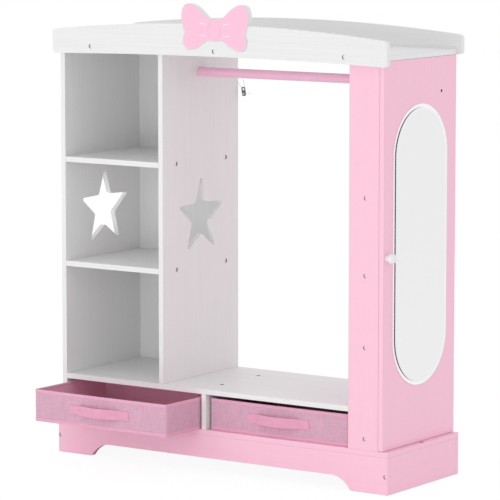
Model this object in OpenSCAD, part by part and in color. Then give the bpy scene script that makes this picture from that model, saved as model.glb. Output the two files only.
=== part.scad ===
// Dress up storage unit with a mirror door, two pull-out fabric bins, shelves and a hanging rod.
// Millimetres. X runs to the right, Y to the back and Z up. The floor is z = 0 and the origin is the
// middle of the footprint of the whole unit at rest, with the left bin pulled out.

/* [Carcass] */
// Thickness of every board
board_t = 15; // [12:0.5:18]
// Width from the left side panel to the outer face of the mirror door
carcass_w = 1068; // [1000:1:1180]
// Depth of the carcass without the fascias
carcass_d = 363; // [345:1:420]
// How far the base, the plinth and the fascias reach past the carcass on each side
overhang = 16; // [16:1:30]
// Width of the shelf column between its two sides
shelf_bay_w = 322; // [280:1:400]
// Width of the left bin bay
left_bin_bay_w = 466; // [452:1:500]
// Width of the mirror column without the door
column_w = 94; // [84:1:110]

/* [Heights] */
// Height of the plinth boards
plinth_h = 100; // [80:1:140]
// Clear height of the bin bays
bin_bay_h = 98.5; // [93:0.5:130]
// Clear height of the lowest shelf compartment
lower_gap_h = 305; // [260:1:340]
// Clear height of the middle shelf compartment
middle_gap_h = 279.5; // [250:0.5:340]
// Clear height of the top shelf compartment
upper_gap_h = 305; // [260:1:340]

/* [Plinth arch] */
// Height of the arch in the plinth boards
arch_h = 37; // [20:1:55]
// Width of each foot beside the arch
foot_w = 118; // [90:1:160]
// Radius of the ends of the arch
arch_r = 70; // [60:1:110]
// Length of the rounding at the inner corner of each foot
foot_corner = 5; // [2:0.5:8]

/* [Star cut-outs] */
// Radius of the star to its sharp tips
star_r = 116.5; // [90:0.5:125]
// Radius that rounds the tips
star_tip_r = 5; // [3:0.5:7]
// Radius that rounds the inner corners
star_valley_r = 8; // [4:0.5:12]
// How much farther out the inner corners lie than where a star's long straight lines cross
star_fat = 3.5; // [0:0.5:10]
// How far the side panel's star lies above the middle of its compartment
side_star_up = 3.5; // [-10:0.5:10]
// How far the divider's star lies above the middle of its compartment
divider_star_up = 1; // [-10:0.5:10]

/* [Fascias] */
// Height of the fascia ends over the underside of the top panel
fascia_end_h = 52.5; // [45:0.5:80]
// Rise of the arched top edge towards the middle
fascia_rise = 28; // [16:1:40]
// Drop of the front fascia's ends below the underside of the top panel
fascia_drop = 15; // [12:0.5:24]
// Rise of the front fascia's lower edge towards the middle
fascia_lower_rise = 8.5; // [2:0.5:11]
// Radius of the fascia's corners
fascia_corner_r = 9; // [4:0.5:14]
// Distance of the outer fascia screws from the middle
fascia_screw_span = 417; // [300:1:460]
// How far the column's front screws lie to the left of the cabinet's middle
column_screw_side = 2; // [0:0.5:10]

/* [Bow] */
// Width of the bow from tip to tip
bow_w = 220; // [180:1:260]
// Thickness of the bow overlay
bow_t = 5; // [4:0.5:8]
// Distance of the bow's middle below the peak of the fascia
bow_drop = 14.5; // [8:0.5:20]
// Distance of the bow's middle to the right of the fascia's middle
bow_side = 5; // [-20:1:20]
// Distance of the bow's screws from its middle
bow_screw_off = 60; // [50:1:70]
// Wood left in front of the bow's screws
bow_skin = 1.5; // [1:0.5:3]
// Width of the groove round the bow's knot
groove_w = 1; // [0.5:0.25:3]
// Width of the creases beside the knot
crease_w = 2; // [1:0.5:3]
// Depth of the groove and the creases
groove_deep = 0.5; // [0.3:0.1:2]

/* [Mirror column] */
// Gap between the mirror door and the boards beside it
door_gap = 0.5; // [0.4:0.1:1.6]
// Gap between the mirror door and the base board
door_low_gap = 1; // [1:0.5:6]
// Gap between the mirror door and the top panel
door_top_gap = 0.5; // [0.5:0.5:4]
// Height of the first cabinet shelf's middle over the base board
cabinet_1_up = 29.5; // [20:0.5:60]
// Height of the second cabinet shelf's middle over the base board
cabinet_2_up = 274; // [220:1:330]
// Height of the third cabinet shelf's middle over the base board
cabinet_3_up = 466; // [400:1:490]
// Height of the fourth cabinet shelf's middle over the base board
cabinet_4_up = 672; // [630:1:760]

/* [Mirror] */
// Width of the white backing
mirror_w = 272; // [220:0.5:290]
// Height of the white backing
mirror_h = 754.5; // [600:0.5:800]
// Height of the backing's lower end over the door's lower edge
mirror_up = 156.5; // [100:0.5:180]
// How far the mirror's middle lies in front of the door's middle
mirror_fore = 2.5; // [0:0.5:5]
// Thickness of the white backing
backing_t = 2; // [1:0.5:4]
// Thickness of the mirror pane
pane_t = 3; // [2:0.5:5]
// Margin of the backing round the pane
mirror_margin = 9.5; // [3:0.5:15]

/* [Knob] */
// Diameter of the knob's ball
knob_d = 26.5; // [20:0.5:30]
// Reach of the knob from the door
knob_len = 29.5; // [26:0.5:38]
// Diameter of the knob's foot
knob_base_d = 19; // [18:0.5:22]
// Diameter of the knob's neck
knob_neck_d = 17; // [8:0.5:18]
// Thickness of the knob's foot
knob_foot_t = 1.5; // [1:0.5:3]
// Height of the flare between the foot and the neck
knob_flare = 3; // [2:0.5:4]
// Diameter of the knob screw's shank
knob_screw_d = 4; // [3:0.5:5]
// Diameter of the knob screw's head
knob_head_d = 8; // [6.5:0.5:9]
// Height of the knob screw's head
knob_head_h = 2.6; // [2:0.1:3]
// Depth of the recess of the knob screw's head
knob_recess = 3; // [3:0.1:5]
// Depth of the knob screw in the knob
knob_bite = 9; // [7:0.5:12]
// Distance of the knob from the front edge of the door
knob_in = 15; // [12:0.5:24]
// Height of the knob over the door's lower edge
knob_up = 514; // [440:0.5:560]
// Diameter of the small blind hole in the door
door_hole_d = 8; // [5:0.5:10]
// Distance of the small hole from the rear edge of the door
door_hole_in = 76; // [60:1:90]
// Distance of the small hole below the upper edge of the door
door_hole_down = 93; // [75:1:105]

/* [Rod] */
// Diameter of the hanging rod
rod_d = 26; // [20:0.5:32]
// Distance of the rod's axis from the front edge of the panels
rod_in = 176; // [140:1:220]
// Distance of the rod's axis below the top panel
rod_down = 64; // [45:1:100]

/* [Bins] */
// How much narrower a bin is than the narrower of the two bays
bin_side_play = 9; // [6:0.5:40]
// Gap between a closed bin and the back panel
bin_rear_gap = 6; // [3:0.5:20]
// Gap between a bin and the floor panel over it
bin_over_gap = 10.2; // [6:0.1:20]
// Thickness of a bin's stiffened wall
bin_wall = 3; // [2:0.25:5]
// Radius of the bin's upright edges
bin_corner_r = 8; // [5:0.5:20]
// Height of the edge bindings
binding_h = 9; // [6:0.5:12]
// Thickness of the edge bindings
binding_t = 0.8; // [0.5:0.1:1.5]
// Thickness of the stiff bottom insert
insert_t = 2; // [1:0.5:4]
// Gap round the stiff bottom insert
insert_gap = 0.5; // [0.3:0.1:3]
// Distance of a closed bin behind the front edge of the panels
bin_in = 12; // [0:1:14]
// How far the left bin is pulled out at rest
bin_out = 169; // [60:1:180]
// Width of the strap handles
strap_w = 27; // [20:0.5:34]
// Thickness of the strap handles
strap_t = 2; // [1.5:0.5:3]
// Length of the handle along the bin's front
strap_len = 200; // [160:1:240]
// Length of each sewn end patch
strap_patch = 28; // [20:1:40]
// How far the middle of the strap bulges out
strap_bulge = 18; // [12:0.5:30]
// Height of the handle's middle over the bin's underside
strap_up = 45.5; // [36:0.5:50]

/* [Fasteners] */
// Diameter of the board screws' heads
head_d = 11.4; // [9:0.1:11.8]
// Height of the board screws' heads
head_h = 2.4; // [1.5:0.1:3.5]
// Gap between a head and the wall of its recess
recess_gap = 0.3; // [0.2:0.1:1]
// Depth of the recess
recess_deep = 4.6; // [3.6:0.1:6]
// Diameter of the board screws' shanks
screw_d = 5; // [4:0.1:6]
// Length of the board screws' shanks
screw_len = 45; // [35:1:50]
// Clearance round a shank or a dowel
hole_gap = 0.05; // [0.02:0.01:0.2]
// Gap past the end of a screw or a dowel in its hole
end_gap = 0.5; // [0.2:0.1:2]
// Width of the socket in a board screw
socket_d = 4; // [3:0.5:5]
// Depth of the socket in a board screw
socket_deep = 1.2; // [0.8:0.1:2]
// Diameter of the dowels
dowel_d = 8; // [6:0.5:9]
// Depth of a dowel in a board's face
dowel_face = 10; // [7:0.5:11]
// Depth of a dowel in a board's end
dowel_end = 20; // [15:0.5:24]
// Distance of the dowels from the front and rear edges
dowel_in = 50; // [40:1:60]
// Diameter of the small screws' heads
small_head_d = 5.6; // [4.5:0.1:6]
// Height of the small screws' heads
small_head_h = 1.4; // [1:0.1:2]
// Diameter of the small screws' shanks
small_d = 3; // [2.5:0.1:3.5]
// Distance of the front shelf screws from the front edge
shelf_screw_front = 63; // [50:1:100]
// Distance of the rear shelf screws from the rear edge
shelf_screw_rear = 62; // [55:1:80]
// Distance of the front floor screw from the front edge
floor_screw_front = 87; // [70:1:120]
// Distance of the rear floor screw from the rear edge
floor_screw_rear = 97; // [85:1:130]
// Distance of the plinth screws below the base board
plinth_screw_down = 51; // [30:1:60]
// Distance of the rear panel screws from the sides of the shelf column
rear_screw_in = 75; // [55:1:100]
// Distance of the bin divider's rear screws from its ends
bin_screw_in = 30; // [25:1:40]

/* [Hinges and catch] */
// Height of each hinge
hinge_h = 50; // [40:1:70]
// Distance of the outer hinges' middles from the ends of the door
hinge_in = 100; // [60:1:140]
// Width of the fixed leaf
leaf_w = 24; // [18:0.5:27]
// Thickness of the leaves
leaf_t = 1.5; // [1:0.1:2]
// Diameter of the hinge knuckles
knuckle_d = 6; // [5.6:0.1:7]
// Diameter of the hinge pin
pin_d = 3; // [2.5:0.1:3.5]
// Clearance round the hinge pin
pin_gap = 0.05; // [0.02:0.01:0.1]
// Gap between two knuckles
knuckle_gap = 0.2; // [0.1:0.05:0.5]
// Gap between the knuckles and the edges of the boards behind them
knuckle_lift = 0.2; // [0.2:0.05:0.6]
// Gap between a knuckle and the other leaf
leaf_gap = 0.6; // [0.4:0.1:1]
// Distance of the door leaves from the outer face of the door
leaf_margin = 0.5; // [0.3:0.1:1.5]
// Depth of the leaf screws in the boards
leaf_bite = 12; // [8:0.5:14]
// Height of the pin's head
pin_head_h = 1.4; // [1:0.1:2]
// Length of the magnet catch's body
catch_len = 46; // [36:1:60]
// Width of the magnet catch's body
catch_w = 14; // [10:0.5:18]
// Depth of the magnet catch's body
catch_deep = 16; // [12:0.5:20]
// Height of the catch's middle over the knob
catch_up = 60; // [45:1:75]
// Depth of the catch's screws in the front panel
catch_bite = 9; // [6:0.5:12]
// Thickness of the strike plate
strike_t = 1; // [0.6:0.1:1.4]
// How much smaller the strike plate is than the catch's face on each side
strike_in = 3; // [1:0.5:5]
// Diameter of the strike plate's stud
stud_d = 4; // [3:0.5:5]
// Length of the strike plate's stud
stud_len = 6; // [4:0.5:9]

/* [Tether] */
// Width of the wall plate
plate_w = 13; // [12:0.5:18]
// Radius of the wall plate's corners
plate_corner_r = 4; // [2:0.5:6]
// Distance between the plate's two holes
plate_pitch = 13; // [11:0.5:16]
// How far the wall plate hangs askew, in degrees
plate_lean = 8; // [0:1:15]
// Thickness of the wall plate
plate_t = 1.5; // [1:0.25:2.5]
// Diameter of the loose wall screw's shank
wall_screw_d = 4; // [3:0.1:5]
// Diameter of the wall screw's head
wall_screw_head_d = 6; // [5.2:0.1:8]
// Gap round the wall screw in its hole
wall_screw_gap = 0.5; // [0.3:0.1:1]
// Gap round the wire in its hole
wire_gap = 2.8; // [0.8:0.1:3.2]
// Distance of the screw eye below the top panel
eye_down = 73; // [25:1:90]
// Diameter of the screw eye's shank
eye_d = 3; // [2:0.1:4]
// Depth of the screw eye in the divider
eye_deep = 15; // [10:0.5:20]
// Radius of the middle of the eye's ring
eye_r = 4.5; // [4:0.1:6]
// Thickness of the eye's ring
eye_wire = 2; // [1.5:0.1:2.5]
// Diameter of the tether wire
wire_d = 1.2; // [1:0.1:2]
// Length of the loose wall screw's shank
wall_screw_len = 33; // [16:1:40]

/* [Hidden] */
$fn = 48;
eps = 1;           // how far a cut runs past a face
rest_gap = 0.3;    // gap under and beside pieces that only rest or pass

// Heights of the boards, from the floor up
base_top = plinth_h + board_t;
floor_z = base_top + bin_bay_h;
floor_top = floor_z + board_t;
lower_z = floor_top + lower_gap_h;
middle_z = lower_z + board_t + middle_gap_h;
top_z = middle_z + board_t + upper_gap_h;
panel_h = top_z - base_top;
shelf_mid_z = [lower_z + board_t / 2, middle_z + board_t / 2];

// Places across and along
inner_d = carcass_d - board_t;
divider_x = board_t + shelf_bay_w;
door_x = carcass_w - board_t;
column_x = door_x - column_w;
column_end = door_x - door_gap;
bin_divider_x = board_t + left_bin_bay_w;
fascia_mid = carcass_w / 2;
fascia_half = carcass_w / 2 + overhang;
side_mid_x = [-overhang + board_t / 2, carcass_w + overhang - board_t / 2];
column_mid = (column_x + board_t + column_end) / 2;
cabinet_mid_z = [for (up = [cabinet_1_up, cabinet_2_up, cabinet_3_up, cabinet_4_up]) base_top + up];

// Door and hinge line
door_z = base_top + door_low_gap;
door_h = top_z - door_top_gap - door_z;
knob_z = door_z + knob_up;
hinge_x = door_x - door_gap / 2;
hinge_y = carcass_d + knuckle_d / 2 + knuckle_lift;
leaf_off = knuckle_d / 2 + leaf_gap;
door_leaf_w = carcass_w - leaf_margin - hinge_x - leaf_off;
hinge_mid_z = [door_z + hinge_in, door_z + door_h / 2, door_z + door_h - hinge_in];
leaf_hole_in = hinge_h / 5;
catch_z = knob_z + catch_up;
catch_x = door_x - strike_t - rest_gap - catch_w;

// Fascia and bow
peak_z = top_z + fascia_end_h + fascia_rise;
bow_x = fascia_mid + bow_side;
bow_z = peak_z - bow_drop;
bow_k = bow_w / 220;
bow_screw_len = board_t - recess_deep + bow_t - bow_skin;

// Bins: where the bindings' front face lies, and what the whole unit reaches
bin_z = base_top + rest_gap;
right_bay_x = bin_divider_x + board_t;
right_bin_bay_w = column_x - right_bay_x;
bin_w = min(left_bin_bay_w, right_bin_bay_w) - bin_side_play;
bin_d = inner_d - bin_in - bin_rear_gap;
bin_h = bin_bay_h - rest_gap - bin_over_gap;
left_bin_x = board_t + (left_bin_bay_w - bin_w) / 2;
right_bin_x = right_bay_x + (right_bin_bay_w - bin_w) / 2;
left_bin_y = bin_in - bin_out;
handle_y = left_bin_y + binding_t - strap_t - strap_bulge;
mid_x = (carcass_w + knob_len - overhang) / 2;
mid_y = (handle_y + carcass_d + board_t) / 2;

// ---------- plain geometry helpers ----------

function arc_points(c, r, a0, a1, n) =
    [for (i = [0:n]) let (a = a0 + (a1 - a0) * i / n) [c[0] + r * cos(a), c[1] + r * sin(a)]];

function bezier_points(p0, p1, p2, n) =
    [for (i = [0:n]) let (t = i / n) (1 - t) * (1 - t) * p0 + 2 * t * (1 - t) * p1 + t * t * p2];

// Smooth curve through the points p; closed when shut is true, with n steps a span
function spline_at(a, b, c, d, t) =
    0.5 * (2 * b + (c - a) * t + (2 * a - 5 * b + 4 * c - d) * t * t
    + (3 * b - 3 * c + d - a) * t * t * t);
function closed_spline(p, n) =
    let (m = len(p))
    [for (i = [0:m - 1], k = [0:n - 1])
        spline_at(p[(i + m - 1) % m], p[i], p[(i + 1) % m], p[(i + 2) % m], k / n)];
function open_spline(p, n) =
    let (m = len(p), q = concat([2 * p[0] - p[1]], p, [2 * p[m - 1] - p[m - 2]]))
    concat([for (i = [1:m - 1], k = [0:n - 1]) spline_at(q[i - 1], q[i], q[i + 1], q[i + 2], k / n)],
           [p[m - 1]]);

function reversed(p) = [for (i = [len(p) - 1:-1:0]) p[i]];
function unit(v) = v / norm(v);

function round_rect_points(w, d, r) = concat(
    arc_points([w - r, r], r, -90, 0, 6), arc_points([w - r, d - r], r, 0, 90, 6),
    arc_points([r, d - r], r, 90, 180, 6), arc_points([r, r], r, 180, 270, 6));

// Five-point star with rounded tips and rounded inner corners, one tip up
function star_points() =
    let (tip_a = star_tip_a, tip_c = star_r - star_tip_r / sin(tip_a),
         valley_c = star_inner_r + star_valley_r / sin(36 + tip_a))
    [for (k = [0:4]) let (a = 90 + 72 * k, b = a + 36)
        each concat(
            arc_points(tip_c * [cos(a), sin(a)], star_tip_r, a - 90 + tip_a, a + 90 - tip_a, 8),
            arc_points(valley_c * [cos(b), sin(b)], star_valley_r, b + 234 - tip_a, b + 126 + tip_a, 6))];

// Arched outline from the left end to the right end, half wide on each side of x = 0
function arched(half, end_z, rise, n, from, to) =
    [for (i = [0:n]) let (x = from + (to - from) * i / n) [x, end_z + rise * (1 - (x / half) * (x / half))]];

// Tube of eight sides along the points p
function tube_tangents(p) =
    [for (i = [0:len(p) - 1]) unit(p[min(i + 1, len(p) - 1)] - p[max(i - 1, 0)])];
function across(n, t) = unit(n - (n * t) * t);
module tube(p, d) {
    t = tube_tangents(p);
    n = [for (i = 0, v = across([0.2, 0.9, 0.3], t[0]); i < len(p);
          i = i + 1, v = i < len(p) ? across(v, t[i]) : v) v];
    rings = [for (i = [0:len(p) - 1], k = [0:7])
        p[i] + d / 2 * (cos(45 * k) * n[i] + sin(45 * k) * cross(t[i], n[i]))];
    sides = [for (i = [0:len(p) - 2], k = [0:7]) each
        [[8 * i + k, 8 * i + 8 + (k + 1) % 8, 8 * i + (k + 1) % 8],
         [8 * i + k, 8 * i + 8 + k, 8 * i + 8 + (k + 1) % 8]]];
    polyhedron(rings, concat(sides, [[0, 1, 2, 3, 4, 5, 6, 7]],
        [[for (k = [7:-1:0]) 8 * (len(p) - 1) + k]]));
}

module at_origin() translate([-mid_x, -mid_y, 0]) children();
module board(p, s) translate(p) cube(s);
// Outline in X and Z, t thick, with its rear face at y
module upright_xz(y, t) translate([0, y, 0]) rotate([90, 0, 0]) linear_extrude(t) children();
// Outline in Y and Z, t thick, with its left face at x
module upright_yz(x, t) translate([x, 0, 0]) rotate([90, 0, 90]) linear_extrude(t) children();
module at_points(points, turn) for (p = points) translate(p) rotate(turn) children();

to_left = [0, -90, 0];
to_right = [0, 90, 0];
to_front = [90, 0, 0];
to_rear = [-90, 0, 0];
to_floor = [180, 0, 0];

// ---------- fasteners: local +Z points out of the face that the head sits in ----------

module board_screw(length) {
    difference() {
        union() {
            translate([0, 0, -recess_deep]) cylinder(d = head_d, h = head_h);
            translate([0, 0, -recess_deep - length]) cylinder(d = screw_d, h = length);
        }
        translate([0, 0, -recess_deep + head_h - socket_deep])
            cylinder(d = socket_d, h = socket_deep + eps, $fn = 6);
    }
}
module board_screw_cut(length) {
    translate([0, 0, -recess_deep]) cylinder(d = head_d + 2 * recess_gap, h = recess_deep + eps);
    translate([0, 0, -recess_deep - length - end_gap])
        cylinder(d = screw_d + 2 * hole_gap, h = length + end_gap + recess_deep / 2);
}
module put_screw(cut, length = screw_len) if (cut) board_screw_cut(length); else board_screw(length);

// A small round-head screw whose head lies on the face at local z = 0
module small_screw(length) {
    difference() {
        union() {
            cylinder(d = small_head_d, h = small_head_h);
            translate([0, 0, -length]) cylinder(d = small_d, h = length);
        }
        translate([0, 0, small_head_h / 2]) cylinder(d = small_head_d / 3, h = small_head_h, $fn = 6);
    }
}
module small_screw_cut(length)
    translate([0, 0, -length - end_gap]) cylinder(d = small_d + 2 * hole_gap, h = length + end_gap + eps);
module put_small(cut, length) if (cut) small_screw_cut(length); else small_screw(length);

// A dowel across a joint: local +Z runs into the board that is drilled in its face
module put_dowel(cut) {
    more = cut ? end_gap : 0;
    translate([0, 0, -dowel_end - more])
        cylinder(d = dowel_d + (cut ? 2 * hole_gap : 0), h = dowel_end + dowel_face + 2 * more);
}

shelf_ys = [shelf_screw_front, carcass_d - shelf_screw_rear];
module left_shelf_screws(cut)
    at_points([for (z = shelf_mid_z, y = shelf_ys) [0, y, z]], to_left) put_screw(cut);
module right_shelf_screws(cut)
    at_points([for (z = shelf_mid_z, y = shelf_ys) [divider_x + board_t, y, z]], to_right) put_screw(cut);
module front_column_screws(cut)
    at_points([for (z = cabinet_mid_z) [column_mid - column_screw_side, 0, z]], to_front) put_screw(cut);
module rear_column_screws(cut)
    at_points([for (z = cabinet_mid_z) [column_mid, carcass_d, z]], to_rear) put_screw(cut);
fascia_screw_xs = [fascia_mid - fascia_screw_span, fascia_mid, fascia_mid + fascia_screw_span];
module front_fascia_screws(cut)
    at_points([for (x = fascia_screw_xs) [x, -board_t, top_z + board_t / 2]], to_front) put_screw(cut);
module back_fascia_screws(cut)
    at_points([for (x = fascia_screw_xs) [x, carcass_d + board_t, top_z + board_t / 2]], to_rear)
        put_screw(cut);
module base_ledge_screws(cut)
    at_points([for (x = side_mid_x) [x, carcass_d / 2, base_top]], [0, 0, 0]) put_screw(cut);
module plinth_front_screws(cut)
    at_points([for (x = side_mid_x) [x, 0, plinth_h - plinth_screw_down]], to_front) put_screw(cut);
module plinth_rear_screws(cut)
    at_points([for (x = side_mid_x) [x, carcass_d, plinth_h - plinth_screw_down]], to_rear) put_screw(cut);
module floor_board_screws(cut)
    at_points([for (y = [floor_screw_front, carcass_d - floor_screw_rear])
        [bin_divider_x + board_t / 2, y, floor_top]], [0, 0, 0]) put_screw(cut);
module back_panel_screws(cut)
    at_points([for (z = shelf_mid_z, x = [board_t + rear_screw_in, divider_x - rear_screw_in])
        [x, carcass_d, z]], to_rear)
        put_screw(cut);
module bin_back_screws(cut)
    at_points([for (z = [base_top + bin_screw_in, floor_z - bin_screw_in])
        [bin_divider_x + board_t / 2, carcass_d, z]],
        to_rear) put_screw(cut);
module rod_end_screws(cut) {
    translate([divider_x, rod_in, top_z - rod_down]) rotate(to_left) put_screw(cut);
    translate([column_x + board_t, rod_in, top_z - rod_down]) rotate(to_right) put_screw(cut);
}
module bow_back_screws(cut)
    at_points([for (s = [-1, 1]) [bow_x + s * bow_screw_off, 0, bow_z]], to_rear)
        put_screw(cut, bow_screw_len);

dowel_ys = [dowel_in, carcass_d - dowel_in];
module base_dowels(cut) {
    at_points([for (x = [board_t / 2, bin_divider_x + board_t / 2, column_x + board_t / 2], y = dowel_ys)
        [x, y, base_top]], to_floor) put_dowel(cut);
    at_points([for (y = [board_t / 2, carcass_d - board_t / 2]) [column_mid, y, base_top]], to_floor)
        put_dowel(cut);
}
module floor_dowels(cut) {
    at_points([for (y = dowel_ys) [board_t, y, floor_z + board_t / 2]], to_left) put_dowel(cut);
    at_points([for (y = dowel_ys) [column_x, y, floor_z + board_t / 2]], to_right) put_dowel(cut);
}
module divider_dowels(cut)
    at_points([for (y = dowel_ys) [divider_x + board_t / 2, y, floor_top]], to_floor) put_dowel(cut);
module top_board_dowels(cut) {
    at_points([for (x = [board_t / 2, divider_x + board_t / 2, column_x + board_t / 2], y = dowel_ys)
        [x, y, top_z]], [0, 0, 0]) put_dowel(cut);
    at_points([for (y = [board_t / 2, carcass_d - board_t / 2]) [column_mid, y, top_z]], [0, 0, 0])
        put_dowel(cut);
}

// ---------- carcass boards ----------

star_inner_r = star_r * sin(18) / sin(54) + star_fat;
star_tip_a = atan2(star_inner_r * sin(36), star_r - star_inner_r * cos(36));
star_mid_z = lower_z + board_t + middle_gap_h / 2
    - (1 - cos(36)) / 2 * (star_r - star_tip_r / sin(star_tip_a) + star_tip_r);
module star_cut(x, up)
    upright_yz(x - eps, board_t + 2 * eps)
        translate([carcass_d / 2, star_mid_z + up]) polygon(star_points());

module left_side_panel() {
    color("white") difference() {
        board([0, 0, base_top], [board_t, carcass_d, panel_h]);
        star_cut(0, side_star_up);
        left_shelf_screws(true);
        base_dowels(true);
        floor_dowels(true);
        top_board_dowels(true);
    }
}
module divider_panel() {
    color("white") difference() {
        board([divider_x, 0, floor_top], [board_t, carcass_d, top_z - floor_top]);
        star_cut(divider_x, divider_star_up);
        right_shelf_screws(true);
        rod_end_screws(true);
        divider_dowels(true);
        top_board_dowels(true);
        translate(eye_foot) rotate(to_rear) translate([0, 0, -eye_deep - end_gap])
            cylinder(d = eye_d + 2 * hole_gap, h = eye_deep + end_gap + eps);
    }
}
module back_panel() {
    color("white") difference() {
        board([board_t, inner_d, floor_top], [shelf_bay_w, board_t, top_z - floor_top]);
        back_panel_screws(true);
    }
}
module shelf(z) {
    color("white") difference() {
        board([board_t, 0, z], [shelf_bay_w, inner_d, board_t]);
        left_shelf_screws(true);
        right_shelf_screws(true);
        back_panel_screws(true);
    }
}
module lower_shelf() shelf(lower_z);
module upper_shelf() shelf(middle_z);
module floor_panel() {
    color("white") difference() {
        board([board_t, 0, floor_z], [column_x - board_t, carcass_d, board_t]);
        floor_board_screws(true);
        floor_dowels(true);
        divider_dowels(true);
    }
}
module bin_divider() {
    color("white") difference() {
        board([bin_divider_x, 0, base_top], [board_t, inner_d, bin_bay_h]);
        floor_board_screws(true);
        bin_back_screws(true);
        base_dowels(true);
    }
}
module bin_back_panel() {
    color("white") difference() {
        board([board_t, inner_d, base_top], [column_x - board_t, board_t, bin_bay_h]);
        bin_back_screws(true);
    }
}
module base_board() {
    color("pink") difference() {
        board([-overhang, 0, plinth_h], [carcass_w + 2 * overhang, carcass_d, board_t]);
        base_ledge_screws(true);
        base_dowels(true);
    }
}
module top_panel() {
    color("white") difference() {
        board([0, 0, top_z], [carcass_w, carcass_d, board_t]);
        front_fascia_screws(true);
        back_fascia_screws(true);
        top_board_dowels(true);
    }
}

// ---------- plinth ----------

function plinth_points() =
    let (w = carcass_w + 2 * overhang, up = arch_r - arch_h, run = sqrt(arch_r * arch_r - up * up),
         foot = asin(up / arch_r), turn = foot_corner / arch_r * 180 / PI,
         c = [foot_w + run, arch_h - arch_r],
         a = 180 - foot - turn,
         inner = concat(
             bezier_points([foot_w - foot_corner, 0], [foot_w, 0],
                 c + arch_r * [cos(a), sin(a)], 4),
             arc_points(c, arch_r, a - 2, 90, 14)))
    concat([[0, 0]], inner, reversed([for (p = inner) [w - p[0], p[1]]]),
        [[w, 0], [w, plinth_h], [0, plinth_h]]);
module plinth_board(rear) upright_xz(rear, board_t) translate([-overhang, 0]) polygon(plinth_points());
module plinth_front() {
    color("pink") difference() {
        plinth_board(board_t);
        plinth_front_screws(true);
    }
}
module plinth_back() {
    color("pink") difference() {
        plinth_board(carcass_d);
        plinth_rear_screws(true);
    }
}
module plinth_side(x) {
    color("pink") difference() {
        board([x - board_t / 2, board_t, 0], [board_t, carcass_d - 2 * board_t, plinth_h]);
        base_ledge_screws(true);
        plinth_front_screws(true);
        plinth_rear_screws(true);
    }
}
module plinth_left() plinth_side(side_mid_x[0]);
module plinth_right() plinth_side(side_mid_x[1]);

// ---------- fascias and bow ----------

// Half of the bow's outline, from the middle of its top to the middle of its bottom, for a bow 220 wide
bow_half = [[0, 31], [14, 30], [22, 30], [32, 38], [48, 52], [64, 63], [82, 69], [98, 66], [107, 54],
    [110, 35], [107, 13], [99, -9], [105, -27], [103, -41], [96, -52], [82, -56], [64, -52],
    [44, -41], [24, -29], [14, -30], [0, -31]];
function bow_points() =
    let (m = len(bow_half), left = [for (i = [m - 2:-1:1]) [-bow_half[i][0], bow_half[i][1]]])
    bow_k * closed_spline(concat(bow_half, left), 4);

function fascia_points(low, low_rise, r) =
    let (h = fascia_half, top = top_z + fascia_end_h)
    concat(
        arc_points([-h + r, low + r], r, 180, 270, 5),
        arched(h, low, low_rise, 30, -h + 1.4 * r, h - 1.4 * r),
        arc_points([h - r, low + r], r, -90, 0, 5),
        arc_points([h - r, top - r], r, 0, 86, 5),
        arched(h, top, fascia_rise, 40, h - 1.4 * r, -h + 1.4 * r),
        arc_points([-h + r, top - r], r, 94, 180, 5));
module front_fascia() {
    color("white") difference() {
        union() {
            upright_xz(0, board_t) translate([fascia_mid, 0])
                polygon(fascia_points(top_z - fascia_drop, fascia_lower_rise, fascia_corner_r));
            upright_xz(0, board_t) translate([bow_x, bow_z]) polygon(bow_points());
        }
        front_fascia_screws(true);
        bow_back_screws(true);
    }
}
module back_fascia() {
    color("white") difference() {
        upright_xz(carcass_d + board_t, board_t) translate([fascia_mid, 0])
            polygon(fascia_points(top_z, 0, fascia_corner_r));
        back_fascia_screws(true);
    }
}

// Curved groove beside the knot, and the short creases that run out of it
function knot_groove() =
    let (c = [for (z = [-25:5:25]) [8 + 13 * cos(3 * z), z]])
    concat([for (p = c) [p[0] * bow_k + groove_w / 2, p[1] * bow_k]],
        reversed([for (p = c) [p[0] * bow_k - groove_w / 2, p[1] * bow_k]]));
module crease(from, to)
    let (a = atan2(to[1] - from[1], to[0] - from[0]))
    translate(bow_k * from) rotate(a) translate([0, -crease_w / 2])
        square([bow_k * norm(to - from), crease_w]);
module bow() {
    color("pink") difference() {
        upright_xz(-board_t, bow_t) translate([bow_x, bow_z]) polygon(bow_points());
        upright_xz(-board_t - bow_t + groove_deep, groove_deep + eps) translate([bow_x, bow_z])
            for (side = [0, 1]) mirror([side, 0]) {
                polygon(knot_groove());
                crease([27, 14], [48, 18]);
                crease([27, -17], [50, -15]);
            }
        bow_back_screws(true);
    }
}

// ---------- mirror column ----------

module column_front_panel() {
    color("pink") difference() {
        board([column_x, 0, base_top], [column_w - door_gap, board_t, panel_h]);
        front_column_screws(true);
        catch_screws_at(true);
        base_dowels(true);
        top_board_dowels(true);
    }
}
module column_rear_panel() {
    color("pink") difference() {
        board([column_x, inner_d, base_top], [column_w - door_gap, board_t, panel_h]);
        rear_column_screws(true);
        fixed_leaf_screws(true);
        base_dowels(true);
        top_board_dowels(true);
    }
}
module column_inner_panel() {
    color("pink") difference() {
        board([column_x, board_t, base_top], [board_t, inner_d - board_t, panel_h]);
        rod_end_screws(true);
        base_dowels(true);
        floor_dowels(true);
        top_board_dowels(true);
    }
}
module cabinet_shelf(n) {
    color("white") difference() {
        board([column_x + board_t, board_t, cabinet_mid_z[n] - board_t / 2],
            [column_end - column_x - board_t, inner_d - board_t, board_t]);
        front_column_screws(true);
        rear_column_screws(true);
    }
}
module cabinet_shelf_1() cabinet_shelf(0);
module cabinet_shelf_2() cabinet_shelf(1);
module cabinet_shelf_3() cabinet_shelf(2);
module cabinet_shelf_4() cabinet_shelf(3);

// ---------- mirror door ----------

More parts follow.
